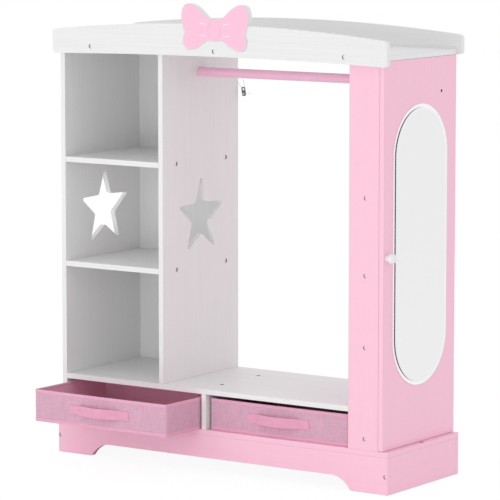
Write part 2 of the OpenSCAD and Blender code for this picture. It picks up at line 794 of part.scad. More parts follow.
module knob_screw_line(cut) {
    more = cut ? hole_gap : 0;
    reach = board_t - knob_recess + knob_bite + (cut ? end_gap : 0);
    translate([door_x, knob_in, knob_z]) rotate(to_left) {
        translate([0, 0, -knob_recess]) cylinder(d = knob_head_d + (cut ? 2 * recess_gap : 0),
            h = cut ? knob_recess + eps : knob_head_h);
        translate([0, 0, -knob_recess - reach])
            cylinder(d = knob_screw_d + 2 * more, h = reach + (cut ? knob_recess / 2 : 0));
    }
}
catch_mid_y = board_t + catch_deep / 2;

module mirror_door() {
    color("pink") difference() {
        board([door_x, 0, door_z], [board_t, carcass_d, door_h]);
        knob_screw_line(true);
        strike_line(true);
        door_leaf_screws(true);
        translate([door_x - eps, carcass_d - door_hole_in, door_z + door_h - door_hole_down])
            rotate(to_right) cylinder(d = door_hole_d, h = board_t + 2 * eps);
    }
}
module stadium(w, h) {
    translate([-w / 2, -h / 2 + w / 2]) square([w, h - w]);
    for (s = [-1, 1]) translate([0, s * (h - w) / 2]) circle(d = w, $fn = 96);
}
module mirror_backing() {
    color("white") upright_yz(carcass_w, backing_t)
        translate([carcass_d / 2 - mirror_fore, door_z + mirror_up + mirror_h / 2])
            stadium(mirror_w, mirror_h);
}
module mirror_pane() {
    color("silver") upright_yz(carcass_w + backing_t, pane_t)
        translate([carcass_d / 2 - mirror_fore, door_z + mirror_up + mirror_h / 2])
            stadium(mirror_w - 2 * mirror_margin, mirror_h - 2 * mirror_margin);
}
module door_knob() {
    ball = knob_d / 2;
    neck = knob_neck_d / 2;
    start = asin(neck / ball);
    color("white") difference() {
        translate([carcass_w, knob_in, knob_z]) rotate(to_right) rotate_extrude()
            polygon(concat([[0, 0], [knob_base_d / 2, 0], [knob_base_d / 2, knob_foot_t],
                    [neck, knob_foot_t + knob_flare]],
                [for (i = [0:12]) let (a = start + (180 - start) * i / 12)
                    [i == 12 ? 0 : ball * sin(a), knob_len - ball - ball * cos(a)]]));
        knob_screw_line(true);
    }
}
module knob_screw() color("silver") knob_screw_line(false);

// ---------- hinges and catch ----------

function knuckle_z(k) = k * hinge_h / 5;
module leaf_set(side, own, w) {
    for (z = hinge_mid_z) translate([hinge_x, hinge_y, z - hinge_h / 2]) difference() {
        union() {
            translate([side > 0 ? leaf_off : -leaf_off - w, carcass_d - hinge_y, 0])
                cube([w, leaf_t, hinge_h]);
            for (k = own) {
                translate([side > 0 ? 0 : -leaf_off - leaf_gap, carcass_d - hinge_y,
                    knuckle_z(k) + knuckle_gap / 2]) cube([leaf_off + leaf_gap, leaf_t, hinge_h / 5 - knuckle_gap]);
                translate([0, 0, knuckle_z(k) + knuckle_gap / 2])
                    cylinder(d = knuckle_d, h = hinge_h / 5 - knuckle_gap);
            }
        }
        translate([0, 0, -eps]) cylinder(d = pin_d + 2 * pin_gap, h = hinge_h + 2 * eps);
        for (h = [leaf_hole_in, hinge_h - leaf_hole_in])
            translate([side * (leaf_off + w / 2), carcass_d - hinge_y - eps, h]) rotate(to_rear)
                cylinder(d = small_d + 2 * hole_gap, h = leaf_t + 2 * eps);
    }
}
module hinge_fixed_leaves() color("silver") leaf_set(-1, [0, 2, 4], leaf_w);
module hinge_door_leaves() color("silver") leaf_set(1, [1, 3], door_leaf_w);
module hinge_pins() {
    color("gray") for (z = hinge_mid_z) translate([hinge_x, hinge_y, z - hinge_h / 2]) {
        translate([0, 0, knuckle_gap / 2]) cylinder(d = pin_d, h = hinge_h - knuckle_gap / 2);
        translate([0, 0, hinge_h - knuckle_gap / 2]) cylinder(d = (knuckle_d + pin_d) / 2, h = pin_head_h);
    }
}
module leaf_screws_at(side, w, cut)
    at_points([for (z = hinge_mid_z, h = [leaf_hole_in, hinge_h - leaf_hole_in])
        [hinge_x + side * (leaf_off + w / 2), carcass_d + leaf_t, z - hinge_h / 2 + h]], to_rear)
            put_small(cut, leaf_bite + leaf_t);
module fixed_leaf_screws(cut) leaf_screws_at(-1, leaf_w, cut);
module door_leaf_screws(cut) leaf_screws_at(1, door_leaf_w, cut);
module hinge_fixed_screws() color("gray") fixed_leaf_screws(false);
module hinge_door_screws() color("gray") door_leaf_screws(false);

module catch_screws_at(cut)
    at_points([for (s = [-1, 1]) [catch_x + catch_w / 2, board_t + catch_deep, catch_z + s * catch_len / 3]],
        to_rear) put_small(cut, catch_deep + catch_bite);
module catch_body() {
    color("white") difference() {
        board([catch_x, board_t, catch_z - catch_len / 2], [catch_w, catch_deep, catch_len]);
        catch_screws_at(true);
    }
}
module catch_screws() color("gray") catch_screws_at(false);
module strike_line(cut)
    translate([door_x, catch_mid_y, catch_z]) rotate(to_right) translate([0, 0, cut ? -eps : -strike_t / 2])
        cylinder(d = stud_d + (cut ? 2 * hole_gap : 0),
            h = stud_len + (cut ? eps + end_gap : strike_t / 2));
module catch_strike() {
    color("silver") union() {
        board([door_x - strike_t, board_t + strike_in / 3, catch_z - catch_len / 2 + strike_in],
            [strike_t, catch_deep - 2 * strike_in / 3, catch_len - 2 * strike_in]);
        strike_line(false);
    }
}

// ---------- hanging rod ----------

module hanging_rod() {
    color("pink") difference() {
        translate([divider_x + board_t, rod_in, top_z - rod_down]) rotate(to_right)
            cylinder(d = rod_d, h = column_x - divider_x - board_t);
        rod_end_screws(true);
    }
}

// ---------- bins ----------

module bin_prism(grow, z0, z1)
    translate([-grow, -grow, z0]) linear_extrude(z1 - z0)
        polygon(round_rect_points(bin_w + 2 * grow, bin_d + 2 * grow, bin_corner_r + grow));
module bin_shell(x, y) {
    color("plum") translate([x, y, bin_z]) difference() {
        bin_prism(-binding_t, 0, bin_h - binding_t);
        bin_prism(-binding_t - bin_wall, bin_wall, bin_h + eps);
    }
}
// Binding tape: folded over the rim, and a band round the foot
module bin_binding(x, y) {
    color("pink") translate([x, y, bin_z]) {
        difference() {
            bin_prism(0, bin_h - binding_h, bin_h);
            bin_prism(-binding_t, bin_h - binding_h - eps, bin_h - binding_t);
            bin_prism(-binding_t - bin_wall, bin_h - binding_h - eps, bin_h + eps);
        }
        difference() {
            bin_prism(0, 0, binding_h);
            bin_prism(-binding_t, -eps, binding_h + eps);
        }
    }
}
module bin_insert(x, y)
    color("gray") translate([x, y, bin_z])
        bin_prism(-binding_t - bin_wall - insert_gap, bin_wall, bin_wall + insert_t);

// The strap lies flat on the front at both ends and bows out between them
function strap_line(o) =
    let (half = strap_len / 2, free = half - strap_patch, n = 28)
    [for (i = [0:n]) let (x = -free + 2 * free * i / n,
            slope = 2 * strap_bulge * x / (free * free),
            d = [slope, -1] / norm([slope, -1]))
        [x, -strap_t / 2 - strap_bulge * (1 - x * x / (free * free))]
            + o * [d[0], d[1]]];
module bin_handle(x, y) {
    half = strap_len / 2;
    outer = strap_line(strap_t / 2);
    inner = strap_line(-strap_t / 2);
    color("hotpink") translate([x + bin_w / 2, y + binding_t, bin_z + strap_up - strap_w / 2])
        linear_extrude(strap_w) polygon(concat([[-half, 0], [-half, -strap_t]], outer,
            [[half, -strap_t], [half, 0]], reversed(inner)));
}
module left_bin_shell() bin_shell(left_bin_x, left_bin_y);
module left_bin_binding() bin_binding(left_bin_x, left_bin_y);
module left_bin_insert() bin_insert(left_bin_x, left_bin_y);
module left_bin_handle() bin_handle(left_bin_x, left_bin_y);
module right_bin_shell() bin_shell(right_bin_x, bin_in);
module right_bin_binding() bin_binding(right_bin_x, bin_in);
module right_bin_insert() bin_insert(right_bin_x, bin_in);
module right_bin_handle() bin_handle(right_bin_x, bin_in);

// ---------- fastener nodes ----------

module shelf_screws() color("silver") { left_shelf_screws(false); right_shelf_screws(false); }
module column_screws() color("silver") { front_column_screws(false); rear_column_screws(false); }
module fascia_screws() color("silver") { front_fascia_screws(false); back_fascia_screws(false); }
module plinth_screws() color("silver") {
    base_ledge_screws(false);
    plinth_front_screws(false);
    plinth_rear_screws(false);
}
module floor_screws() color("silver") floor_board_screws(false);
module rear_panel_screws() color("silver") { back_panel_screws(false); bin_back_screws(false); }
module rod_screws() color("silver") rod_end_screws(false);
module bow_screws() color("silver") bow_back_screws(false);
module board_dowels() color("tan") {
    base_dowels(false);
    floor_dowels(false);
    divider_dowels(false);
    top_board_dowels(false);
}

// ---------- anti-tip tether, behind the opening ----------

// The foot of the screw eye, in the divider's rear edge, and the wall plate's lower hole
eye_foot = [divider_x + board_t / 2, carcass_d, top_z - eye_down];
plate_at = eye_foot + [22, 7, -64.4];
eye_gap = 0.3;

module tether_anchor() {
    color("silver") translate(eye_foot) {
        rotate(to_rear) translate([0, 0, -eye_deep])
            cylinder(d = eye_d, h = eye_deep + eye_gap + eye_wire / 2);
        translate([0, eye_r + eye_wire / 2 + eye_gap, 0]) rotate(to_right) rotate_extrude()
            translate([eye_r, 0]) circle(d = eye_wire, $fn = 24);
    }
}
module tether_plate() {
    wire_hole_d = wire_d + 2 * wire_gap;
    color("silver") difference() {
        upright_xz(plate_at[1] + plate_t, plate_t)
            translate([plate_at[0], plate_at[2]]) rotate(plate_lean)
                translate([-plate_w / 2, -plate_w / 2])
                    polygon(round_rect_points(plate_w, plate_pitch + plate_w, plate_corner_r));
        upright_xz(plate_at[1] + plate_t + eps, plate_t + 2 * eps)
            translate([plate_at[0], plate_at[2]]) rotate(plate_lean) {
                circle(d = wall_screw_d + 2 * wall_screw_gap);
                translate([0, plate_pitch]) circle(d = wire_hole_d);
            }
    }
}
module tether_screw() {
    head = wall_screw_head_d;
    color("gray") translate(plate_at + [0, -hole_gap, hole_gap - wall_screw_gap]) rotate(to_front)
        difference() {
            union() {
                cylinder(d = head, h = head / 3);
                translate([0, 0, -wall_screw_len]) cylinder(d = wall_screw_d, h = wall_screw_len);
            }
            translate([0, 0, head / 6]) cylinder(d = head * 0.4, h = head / 3, $fn = 6);
        }
}
// From the eye's foot: through the ring, down in front of the plate, through its upper hole, up behind
// it and back to the eye
wire_route = [[-7.5, 6, -5.5], [-4.5, 6, -3.2], [0, 5.9, -2.2], [4.3, 5.8, -3.6],
    [9.6, 5.6, -10.5], [15.6, 5.3, -18.5], [21.2, 5, -25.5], [24.6, 4.7, -34.5], [25.2, 4.4, -41.5],
    [22.9, 4.6, -47], [20.9, 6, -49], [20, 7.9, -49.5], [18.6, 9.8, -49.4], [15.6, 11.2, -49],
    [10.8, 11.4, -47.2], [5.6, 10.8, -41.5], [1.6, 10.3, -33], [-3.6, 9.6, -24.5], [-7.6, 8.9, -16.5],
    [-9.4, 8.4, -12], [-9, 8.2, -8.6]];
module tether_wire() color("gray") translate(eye_foot) tube(open_spline(wire_route, 4), wire_d);

// ---------- assembly ----------

at_origin() left_side_panel();
at_origin() divider_panel();
at_origin() back_panel();
at_origin() upper_shelf();
at_origin() lower_shelf();
at_origin() floor_panel();
at_origin() bin_divider();
at_origin() bin_back_panel();
at_origin() base_board();
at_origin() plinth_front();
at_origin() plinth_back();
at_origin() plinth_left();
at_origin() plinth_right();
at_origin() top_panel();
at_origin() front_fascia();
at_origin() back_fascia();
at_origin() bow();
at_origin() column_front_panel();
at_origin() column_rear_panel();
at_origin() column_inner_panel();
at_origin() cabinet_shelf_1();
at_origin() cabinet_shelf_2();
at_origin() cabinet_shelf_3();
at_origin() cabinet_shelf_4();
at_origin() hanging_rod();
at_origin() mirror_door();
at_origin() mirror_backing();
at_origin() mirror_pane();
at_origin() door_knob();
at_origin() knob_screw();
at_origin() hinge_fixed_leaves();
at_origin() hinge_door_leaves();
at_origin() hinge_pins();
at_origin() hinge_fixed_screws();
at_origin() hinge_door_screws();
at_origin() catch_body();
at_origin() catch_screws();
at_origin() catch_strike();
at_origin() left_bin_shell();
at_origin() left_bin_binding();
at_origin() left_bin_insert();
at_origin() left_bin_handle();
at_origin() right_bin_shell();
at_origin() right_bin_binding();
at_origin() right_bin_insert();
at_origin() right_bin_handle();
at_origin() shelf_screws();
at_origin() column_screws();
at_origin() fascia_screws();
at_origin() plinth_screws();
at_origin() floor_screws();
at_origin() rear_panel_screws();
at_origin() rod_screws();
at_origin() bow_screws();
at_origin() board_dowels();
at_origin() tether_anchor();
at_origin() tether_plate();
at_origin() tether_screw();
at_origin() tether_wire();
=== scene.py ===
"""Dress-up storage unit with a mirror: the looks of its boards, bow, mirror, metal and fabric bins."""
import logging
import math
from dataclasses import dataclass, field
from enum import Enum
from functools import cached_property
from typing import Callable, Iterable, Sequence

import bmesh
import bpy
from mathutils import Euler, Matrix, Vector, noise


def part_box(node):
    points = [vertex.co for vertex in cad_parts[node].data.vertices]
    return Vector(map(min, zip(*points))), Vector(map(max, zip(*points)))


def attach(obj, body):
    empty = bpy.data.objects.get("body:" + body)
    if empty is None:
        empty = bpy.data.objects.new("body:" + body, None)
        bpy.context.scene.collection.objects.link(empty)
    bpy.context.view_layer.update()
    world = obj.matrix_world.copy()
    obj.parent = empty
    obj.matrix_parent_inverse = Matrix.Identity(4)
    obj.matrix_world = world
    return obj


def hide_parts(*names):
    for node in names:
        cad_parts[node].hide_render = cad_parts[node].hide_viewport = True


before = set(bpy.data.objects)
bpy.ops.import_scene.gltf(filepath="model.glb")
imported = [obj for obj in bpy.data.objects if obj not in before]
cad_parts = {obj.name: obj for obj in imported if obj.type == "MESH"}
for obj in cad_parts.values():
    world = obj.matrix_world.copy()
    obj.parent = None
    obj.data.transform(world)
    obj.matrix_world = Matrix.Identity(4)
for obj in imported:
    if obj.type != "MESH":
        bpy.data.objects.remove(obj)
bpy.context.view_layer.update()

logging.basicConfig(level=logging.INFO, format="%(message)s")
log = logging.getLogger("storage_unit")

RGB = tuple[float, float, float]
Point = tuple[float, float, float]
Piece = bpy.types.Object
Socket = bpy.types.NodeSocket
Material = bpy.types.Material
MM = 0.001
CLOSE = 1e-5
SQUARE_ON = 0.9


def seen(red: int, green: int, blue: int) -> RGB:
    """Turns a colour as it looks, 0 to 255 a channel, into the light it gives back.

    Args:
        red: The red channel.
        green: The green channel.
        blue: The blue channel.

    Returns:
        The linear colour for a shader socket.
    """
    def straight(channel: int) -> float:
        """Undoes the screen's curve for one channel."""
        share = channel / 255
        return share / 12.92 if share <= 0.04045 else ((share + 0.055) / 1.055) ** 2.4

    return straight(red), straight(green), straight(blue)


def shade(colour: RGB, share: float) -> RGB:
    """The colour made darker or lighter by a share of itself."""
    return tuple(min(1.0, channel * share) for channel in colour)


def held(share: float) -> float:
    """Keeps a share between 0 and 1."""
    return min(1.0, max(0.0, share))


def arch(share: float) -> float:
    """How far an arch has risen at a share of its span: 0 at both ends and 1 in the middle."""
    return math.sin(math.pi * held(share))


# ---- materials


class NodeBench:
    """The nodes of a material or a world, put together one at a time."""

    def __init__(self, owner: Material | bpy.types.World) -> None:
        """Clears the nodes of a material or a world.

        Args:
            owner: The material or the world.
        """
        owner.use_nodes = True
        self.tree = owner.node_tree
        self.tree.nodes.clear()

    def feed(self, node: bpy.types.Node, key: str | int, value: object) -> None:
        """Links a socket to a node's input, or writes a plain value there.

        Args:
            node: The node that takes the value.
            key: The input's name or number.
            value: An output socket, a number, a colour or a vector.
        """
        if isinstance(value, Socket):
            self.tree.links.new(value, node.inputs[key])
        elif isinstance(value, tuple) and node.inputs[key].type == "RGBA":
            node.inputs[key].default_value = (*value, 1.0)
        else:
            node.inputs[key].default_value = value

    def add(self, kind: str, settings: dict[str, object] | None = None,
            **inputs: object) -> bpy.types.Node:
        """Adds a node.

        Args:
            kind: The node's type, without its ShaderNode prefix.
            settings: The node's own options.
            inputs: Values or sockets for its inputs, with _ for a space.

        Returns:
            The new node.
        """
        node = self.tree.nodes.new("ShaderNode" + kind)
        for key, value in (settings or {}).items():
            setattr(node, key, value)
        for key, value in inputs.items():
            self.feed(node, key.replace("_", " "), value)
        return node

    def math(self, operation: str, first: object, second: object = 0.0) -> Socket:
        """Does one sum on two values or sockets.

        Args:
            operation: The sum's name.
            first: The first value.
            second: The second value, where the sum has one.

        Returns:
            The result.
        """
        node = self.add("Math", {"operation": operation})
        self.feed(node, 0, first)
        self.feed(node, 1, second)
        return node.outputs[0]

    def blend(self, share: object, first: object, second: object,
              mode: str = "MIX") -> Socket:
        """Mixes two colours.

        Args:
            share: How much of the second colour there is, 0 to 1.
            first: The colour at 0.
            second: The colour at 1.
            mode: The blend's name.

        Returns:
            The mixed colour.
        """
        node = self.add("Mix", {"data_type": "RGBA", "blend_type": mode})
        self.feed(node, 0, share)
        self.feed(node, 6, first)
        self.feed(node, 7, second)
        return node.outputs[2]

    def spread(self, value: object, low: float, high: float, to_low: float = 0.0,
               to_high: float = 1.0) -> Socket:
        """Maps a value from one range onto another, held at the ends."""
        node = self.add("MapRange", {"clamp": True}, Value=value, From_Min=low, From_Max=high,
                        To_Min=to_low, To_Max=to_high)
        return node.outputs[0]


class SurfaceBench(NodeBench):
    """A new material's nodes round its surface shader."""

    def __init__(self, name: str) -> None:
        """Starts an empty material with its surface shader.

        Args:
            name: The material's name.
        """
        self.material = bpy.data.materials.new(name)
        super().__init__(self.material)
        self.shader = self.add("BsdfPrincipled")
        self.add("OutputMaterial", None, Surface=self.shader.outputs[0])

    @cached_property
    def coords(self) -> bpy.types.bpy_prop_collection:
        """The piece's own coordinates and normals."""
        return self.add("TexCoord").outputs

    @property
    def place(self) -> Socket:
        """The piece's own coordinates in metres."""
        return self.coords["Object"]

    @cached_property
    def laid(self) -> Socket:
        """The piece's map in metres, as lay_out makes it."""
        return self.add("UVMap", {"uv_map": "laid"}).outputs[0]

    def grain_noise(self, place: Socket, scale: Point, detail: float = 3.0,
                    shift: float = 0.0) -> Socket:
        """Noise stretched along an axis.

        Args:
            place: The coordinates in metres.
            scale: Repeats to the metre along each axis.
            detail: How many finer layers it has.
            shift: Where in the noise it starts.

        Returns:
            The noise, 0 to 1.
        """
        stretched = self.add("Mapping", Vector=place, Scale=scale, Location=(shift, shift, shift))
        return self.add("TexNoise", None, Vector=stretched.outputs[0], Scale=1.0, Detail=detail,
                        Roughness=0.55).outputs[0]

    def even_noise(self, scale: float, detail: float = 3.0, shift: float = 0.0) -> Socket:
        """Noise with the same repeats to the metre along every axis of the piece."""
        return self.grain_noise(self.place, (scale, scale, scale), detail, shift)

    def tones(self, share: object, colour: RGB, low: float, high: float = 1.0) -> Socket:
        """Runs from one shade of a colour to another as the share goes from 0 to 1."""
        return self.blend(share, shade(colour, low), shade(colour, high))

    def ridges(self, axis: Socket, turns: float) -> Socket:
        """Rounded ridges across an axis, 0 to 1, from half turns to the metre in radians."""
        return self.math("ABSOLUTE", self.math("SINE", self.math("MULTIPLY", axis, turns)))

    def arris_shade_mask(self, low: Vector, high: Vector, width: float) -> Socket:
        """Marks the edges of a square board, where painted shade stands in for an eased arris.

        Args:
            low: The board's lowest corner.
            high: The board's highest corner.
            width: How wide the eased edge is.

        Returns:
            1 along every edge where two faces meet, and 0 elsewhere.
        """
        axes = self.add("SeparateXYZ", None, Vector=self.place).outputs
        near = 0.0
        for axis, from_, to in zip(axes, low, high):
            off = self.math("ABSOLUTE", self.math("SUBTRACT", axis, (from_ + to) / 2))
            near = self.math("ADD", near, self.math("GREATER_THAN", off, (to - from_) / 2 - width))
        return self.math("GREATER_THAN", near, 1.5)

    def relief(self, height: object, depth: float, strength: float = 1.0) -> None:
        """Gives the surface a bump of that depth in metres from a height of 0 to 1."""
        bump = self.add("Bump", None, Height=height, Distance=depth, Strength=strength)
        self.feed(self.shader, "Normal", bump.outputs[0])

    def finish(self, **inputs: object) -> None:
        """Fills in the surface shader's inputs, with _ for a space."""
        for key, value in inputs.items():
            self.feed(self.shader, key.replace("_", " "), value)


class Grain(Enum):
    """The way a board's printed grain runs, as noise repeats to the metre on each axis."""

    ALONG_X = (3.2, 150.0, 150.0)
    ALONG_Y = (150.0, 3.2, 150.0)
    ALONG_Z = (150.0, 150.0, 3.2)

    def finer(self, times: float) -> Point:
        """The same grain with its lines that many times closer."""
        return tuple(each if each < 10 else each * times for each in self.value)


@dataclass(frozen=True)
class Finish:
    """A finish, with its name and its main colour."""

    name: str
    colour: RGB

    def make(self) -> Material:
        """Builds the material.

        Returns:
            The material.
        """
        bench = SurfaceBench(self.name)
        self.paint(bench)
        return bench.material

    def paint(self, bench: SurfaceBench) -> None:
        """Links up the material's nodes; a plain finish has only its colour."""
        bench.finish(Base_Color=self.colour)


@dataclass(frozen=True)
class Melamine(Finish):
    """Satin melamine on chipboard, printed and pressed with a faint wood grain."""

    grain: Grain
    streak: float = 0.042
    roughness: float = 0.42
    # How wide the painted shade along each edge of a board is, standing in for an eased arris.
    eased: float = 0.6 * MM

    def paint(self, bench: SurfaceBench, box: tuple[Vector, Vector] | None = None) -> None:
        """Prints the grain, with its pores pressed in, and paints shade along the board's edges.

        Args:
            bench: The material's nodes.
            box: The board's corners, where its edges get painted shade for an eased arris.
        """
        broad = bench.grain_noise(bench.place, self.grain.value, 4.0)
        fine = bench.grain_noise(bench.place, self.grain.finer(5.0), 2.0, 3.7)
        cloud = bench.even_noise(2.5, 2.0, 9.1)
        pore = bench.spread(fine, 0.56, 0.72)
        lines = bench.tones(bench.spread(broad, 0.3, 0.7), self.colour, 1 - self.streak,
                            1 + self.streak * 0.3)
        pored = bench.blend(bench.math("MULTIPLY", pore, 0.5), lines,
                            shade(self.colour, 1 - 1.6 * self.streak))
        tone = bench.blend(bench.spread(cloud, 0.3, 0.7, 0.0, 0.35), pored,
                           shade(self.colour, 1 - self.streak))
        if box:
            # Painted shade: the board's edges are darkened so that they look eased.
            tone = bench.blend(bench.math("MULTIPLY", bench.arris_shade_mask(*box, self.eased), 0.3), tone,
                               shade(self.colour, 0.35))
        bench.relief(bench.math("SUBTRACT", broad, bench.math("MULTIPLY", pore, 0.5)), 0.00012, 0.5)
        worn = bench.spread(fine, 0.3, 0.7, self.roughness - 0.05, self.roughness + 0.07)
        bench.finish(Base_Color=tone, Roughness=worn, Specular_IOR_Level=0.4)


@dataclass(frozen=True)
class BoardFinish:
    """Melamine fitted to one square board, with painted shade along its edges so that they show as eased."""

    melamine: Melamine
    node: str

    @property
    def name(self) -> str:
        """The melamine's name with the board's."""
        return f"{self.melamine.name}_{self.node}"

    def make(self) -> Material:
        """Builds the material.

        Returns:
            The material.
        """
        bench = SurfaceBench(self.name)
        self.melamine.paint(bench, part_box(self.node))
        return bench.material


@dataclass(frozen=True)
class CutBoard(Finish):
    """A painted board whose front is one colour and whose cut edges are another."""

    edge: RGB
    roughness: float = 0.45

    def paint(self, bench: SurfaceBench) -> None:
        """Parts the front from the edges by the way that they face.

        Args:
            bench: The material's nodes.
        """
        normal = bench.add("SeparateXYZ", None, Vector=bench.coords["Normal"])
        front = bench.spread(bench.math("MULTIPLY", normal.outputs[1], -1.0), 0.9, 0.97)
        mottle = bench.even_noise(60.0, 4.0)
        fibre = bench.even_noise(700.0, 2.0)
        tone = bench.blend(front, bench.tones(fibre, self.edge, 0.93),
                           bench.tones(mottle, self.colour, 0.985))
        bench.relief(bench.blend(front, fibre, mottle), 0.00008, 0.5)
        bench.finish(Base_Color=tone, Roughness=self.roughness, Specular_IOR_Level=0.4)


@dataclass(frozen=True)
class Lacquer(Finish):
    """Sprayed lacquer or moulded plastic with a slight orange peel."""

    roughness: float
    peel: float = 0.00006
    coat: float = 0.0
    polish: float = 0.0

    def paint(self, bench: SurfaceBench) -> None:
        """Sprays the coat, a little cloudy and rubbed.

        Args:
            bench: The material's nodes.
        """
        cloud = bench.even_noise(14.0, 3.0, 5.0)
        rub = bench.even_noise(90.0, 4.0, 2.0)
        bench.relief(bench.even_noise(260.0, 2.0), self.peel, 0.6)
        bench.finish(Base_Color=bench.tones(cloud, self.colour, 0.97), Metallic=self.polish,
                     Roughness=bench.spread(rub, 0.3, 0.7, self.roughness, self.roughness + 0.1),
                     Coat_Weight=self.coat, Coat_Roughness=0.12)


@dataclass(frozen=True)
class PlatedSteel(Finish):
    """Zinc-plated or drawn steel."""

    roughness: float
    brush: Grain = Grain.ALONG_Z

    def paint(self, bench: SurfaceBench) -> None:
        """Brushes the metal and gives it a faint spangle.

        Args:
            bench: The material's nodes.
        """
        brush = bench.grain_noise(bench.place, self.brush.finer(12.0), 2.0)
        spangle = bench.add("TexVoronoi", None, Vector=bench.place, Scale=420.0).outputs["Color"]
        tint = bench.blend(0.12, self.colour, spangle, "SOFT_LIGHT")
        bench.relief(brush, 0.00003, 0.5)
        bench.finish(Base_Color=bench.blend(brush, shade(self.colour, 0.85), tint), Metallic=1.0,
                     Roughness=bench.spread(brush, 0.3, 0.7, self.roughness, self.roughness + 0.16))


@dataclass(frozen=True)
class Silvering(Finish):
    """The mirror's silvered glass."""

    def paint(self, bench: SurfaceBench) -> None:
        """Silvers the glass, with a slow wave and a little dust.

        Args:
            bench: The material's nodes.
        """
        dust = bench.spread(bench.even_noise(900.0, 2.0), 0.62, 0.8, 0.015, 0.06)
        bench.relief(bench.grain_noise(bench.place, (5.0, 5.0, 2.0), 1.0), 0.00004, 0.3)
        bench.finish(Base_Color=self.colour, Metallic=1.0, Roughness=dust)


@dataclass(frozen=True)
class GlassEdge(Finish):
    """The ground edge of a sheet of glass, dark against its silvering."""

    def paint(self, bench: SurfaceBench) -> None:
        """Grinds the edge with fine upright lines.

        Args:
            bench: The material's nodes.
        """
        grind = bench.grain_noise(bench.place, (1200.0, 1200.0, 120.0), 2.0)
        bench.relief(grind, 0.00003, 0.5)
        bench.finish(Base_Color=bench.tones(grind, self.colour, 0.8), Roughness=0.22, Specular_IOR_Level=0.7)


@dataclass(frozen=True)
class Timber(Finish):
    """Plain beech, as dowels are made of."""

    grain: Grain

    def paint(self, bench: SurfaceBench) -> None:
        """Grows the rings and the short flecks.

        Args:
            bench: The material's nodes.
        """
        ring = bench.grain_noise(bench.place, self.grain.finer(2.0), 4.0)
        fleck = bench.grain_noise(bench.place, self.grain.finer(9.0), 2.0, 6.0)
        tone = bench.blend(bench.spread(fleck, 0.55, 0.7, 0.0, 0.5), bench.tones(ring, self.colour, 0.8),
                           shade(self.colour, 0.6))
        bench.relief(fleck, 0.0001, 0.6)
        bench.finish(Base_Color=tone, Roughness=0.6)


@dataclass(frozen=True)
class ShadedChipboard(Finish):
    """Raw pressed wood chips, as a drilled recess shows them, darkened with painted shade."""

    def paint(self, bench: SurfaceBench) -> None:
        """Presses the chips, with dust between them.

        Args:
            bench: The material's nodes.
        """
        chips = bench.add("TexVoronoi", None, Vector=bench.place, Scale=900.0).outputs["Distance"]
        dusted = bench.tones(bench.even_noise(1500.0, 2.0), self.colour, 1.0, 1.25)
        tone = bench.blend(bench.spread(chips, 0.1, 0.6), shade(self.colour, 0.6), dusted)
        bench.relief(chips, 0.0002, 0.8)
        bench.finish(Base_Color=tone, Roughness=0.9)


@dataclass(frozen=True)
class WovenCloth(Finish):
    """A plain weave of a warp in the main colour and a weft, with thick and thin places."""

    weft: RGB
    pitch: float = 1.8 * MM
    slub: float = 0.16
    roughness: float = 0.85

    def paint(self, bench: SurfaceBench) -> None:
        """Weaves the threads over and under each other on the piece's own map, with painted shade in the
        gaps between them.

        Args:
            bench: The material's nodes.
        """
        split = bench.add("SeparateXYZ", None, Vector=bench.laid)
        turns = math.pi / self.pitch
        humps = [bench.ridges(axis, turns) for axis in split.outputs[:2]]
        hump = bench.math("SQRT", bench.math("MULTIPLY", *humps))
        lifted = bench.add("Mapping", Vector=bench.laid, Location=(0.0, 0.0, 0.5 * self.pitch))
        over = bench.add("TexChecker", None, Vector=lifted.outputs[0], Scale=1 / self.pitch).outputs[1]
        along = bench.grain_noise(bench.laid, (26.0, 420.0, 1.0))
        across = bench.grain_noise(bench.laid, (420.0, 26.0, 1.0), 3.0, 4.0)
        warp, weft = [bench.tones(bench.spread(slubs, 0.3, 0.7), colour, 1 - self.slub, 1 + self.slub)
                      for slubs, colour in ((across, self.colour), (along, self.weft))]
        # Painted shade darkens the gaps between threads.
        shaded_gaps = bench.blend(bench.spread(hump, 0.0, 0.75, 0.45, 0.0), bench.blend(over, warp, weft),
                           shade(self.colour, 0.55))
        bench.relief(bench.math("ADD", hump, bench.math("MULTIPLY", along, 0.4)), 0.0003, 0.55)
        bench.finish(Base_Color=shaded_gaps, Roughness=self.roughness, Sheen_Weight=0.25, Sheen_Roughness=0.5,
                     Specular_IOR_Level=0.2)


@dataclass(frozen=True)
class Tape(Finish):
    """Ribbed binding tape, strap webbing or thread."""

    rib: float = 1.1 * MM
    roughness: float = 0.75

    def paint(self, bench: SurfaceBench) -> None:
        """Ribs the tape along and across the piece's own map, with painted shade in the dips between the
        ribs.

        Args:
            bench: The material's nodes.
        """
        split = bench.add("SeparateXYZ", None, Vector=bench.laid)
        turns = math.pi / self.rib
        ribs, picks = [bench.math("SQRT", bench.ridges(axis, each))
                       for axis, each in zip(split.outputs, (turns, turns * 0.8))]
        weave = bench.math("MULTIPLY", ribs, picks)
        fuzz = bench.grain_noise(bench.laid, (500.0, 500.0, 1.0))
        cloud = bench.grain_noise(bench.laid, (40.0, 90.0, 1.0), 3.0, 8.0)
        tone = bench.tones(bench.spread(cloud, 0.3, 0.7), self.colour, 0.94, 1.03)
        # Painted shade darkens the dips between the ribs.
        shaded_dips = bench.blend(bench.spread(weave, 0.0, 0.7, 0.35, 0.0), tone, shade(self.colour, 0.62))
        bench.relief(bench.math("ADD", weave, bench.math("MULTIPLY", fuzz, 0.4)), 0.0002, 0.5)
        bench.finish(Base_Color=shaded_dips, Roughness=self.roughness, Sheen_Weight=0.3, Sheen_Roughness=0.45,
                     Specular_IOR_Level=0.25)


WHITE: RGB = seen(238, 238, 238)
PINK: RGB = seen(252, 200, 220)

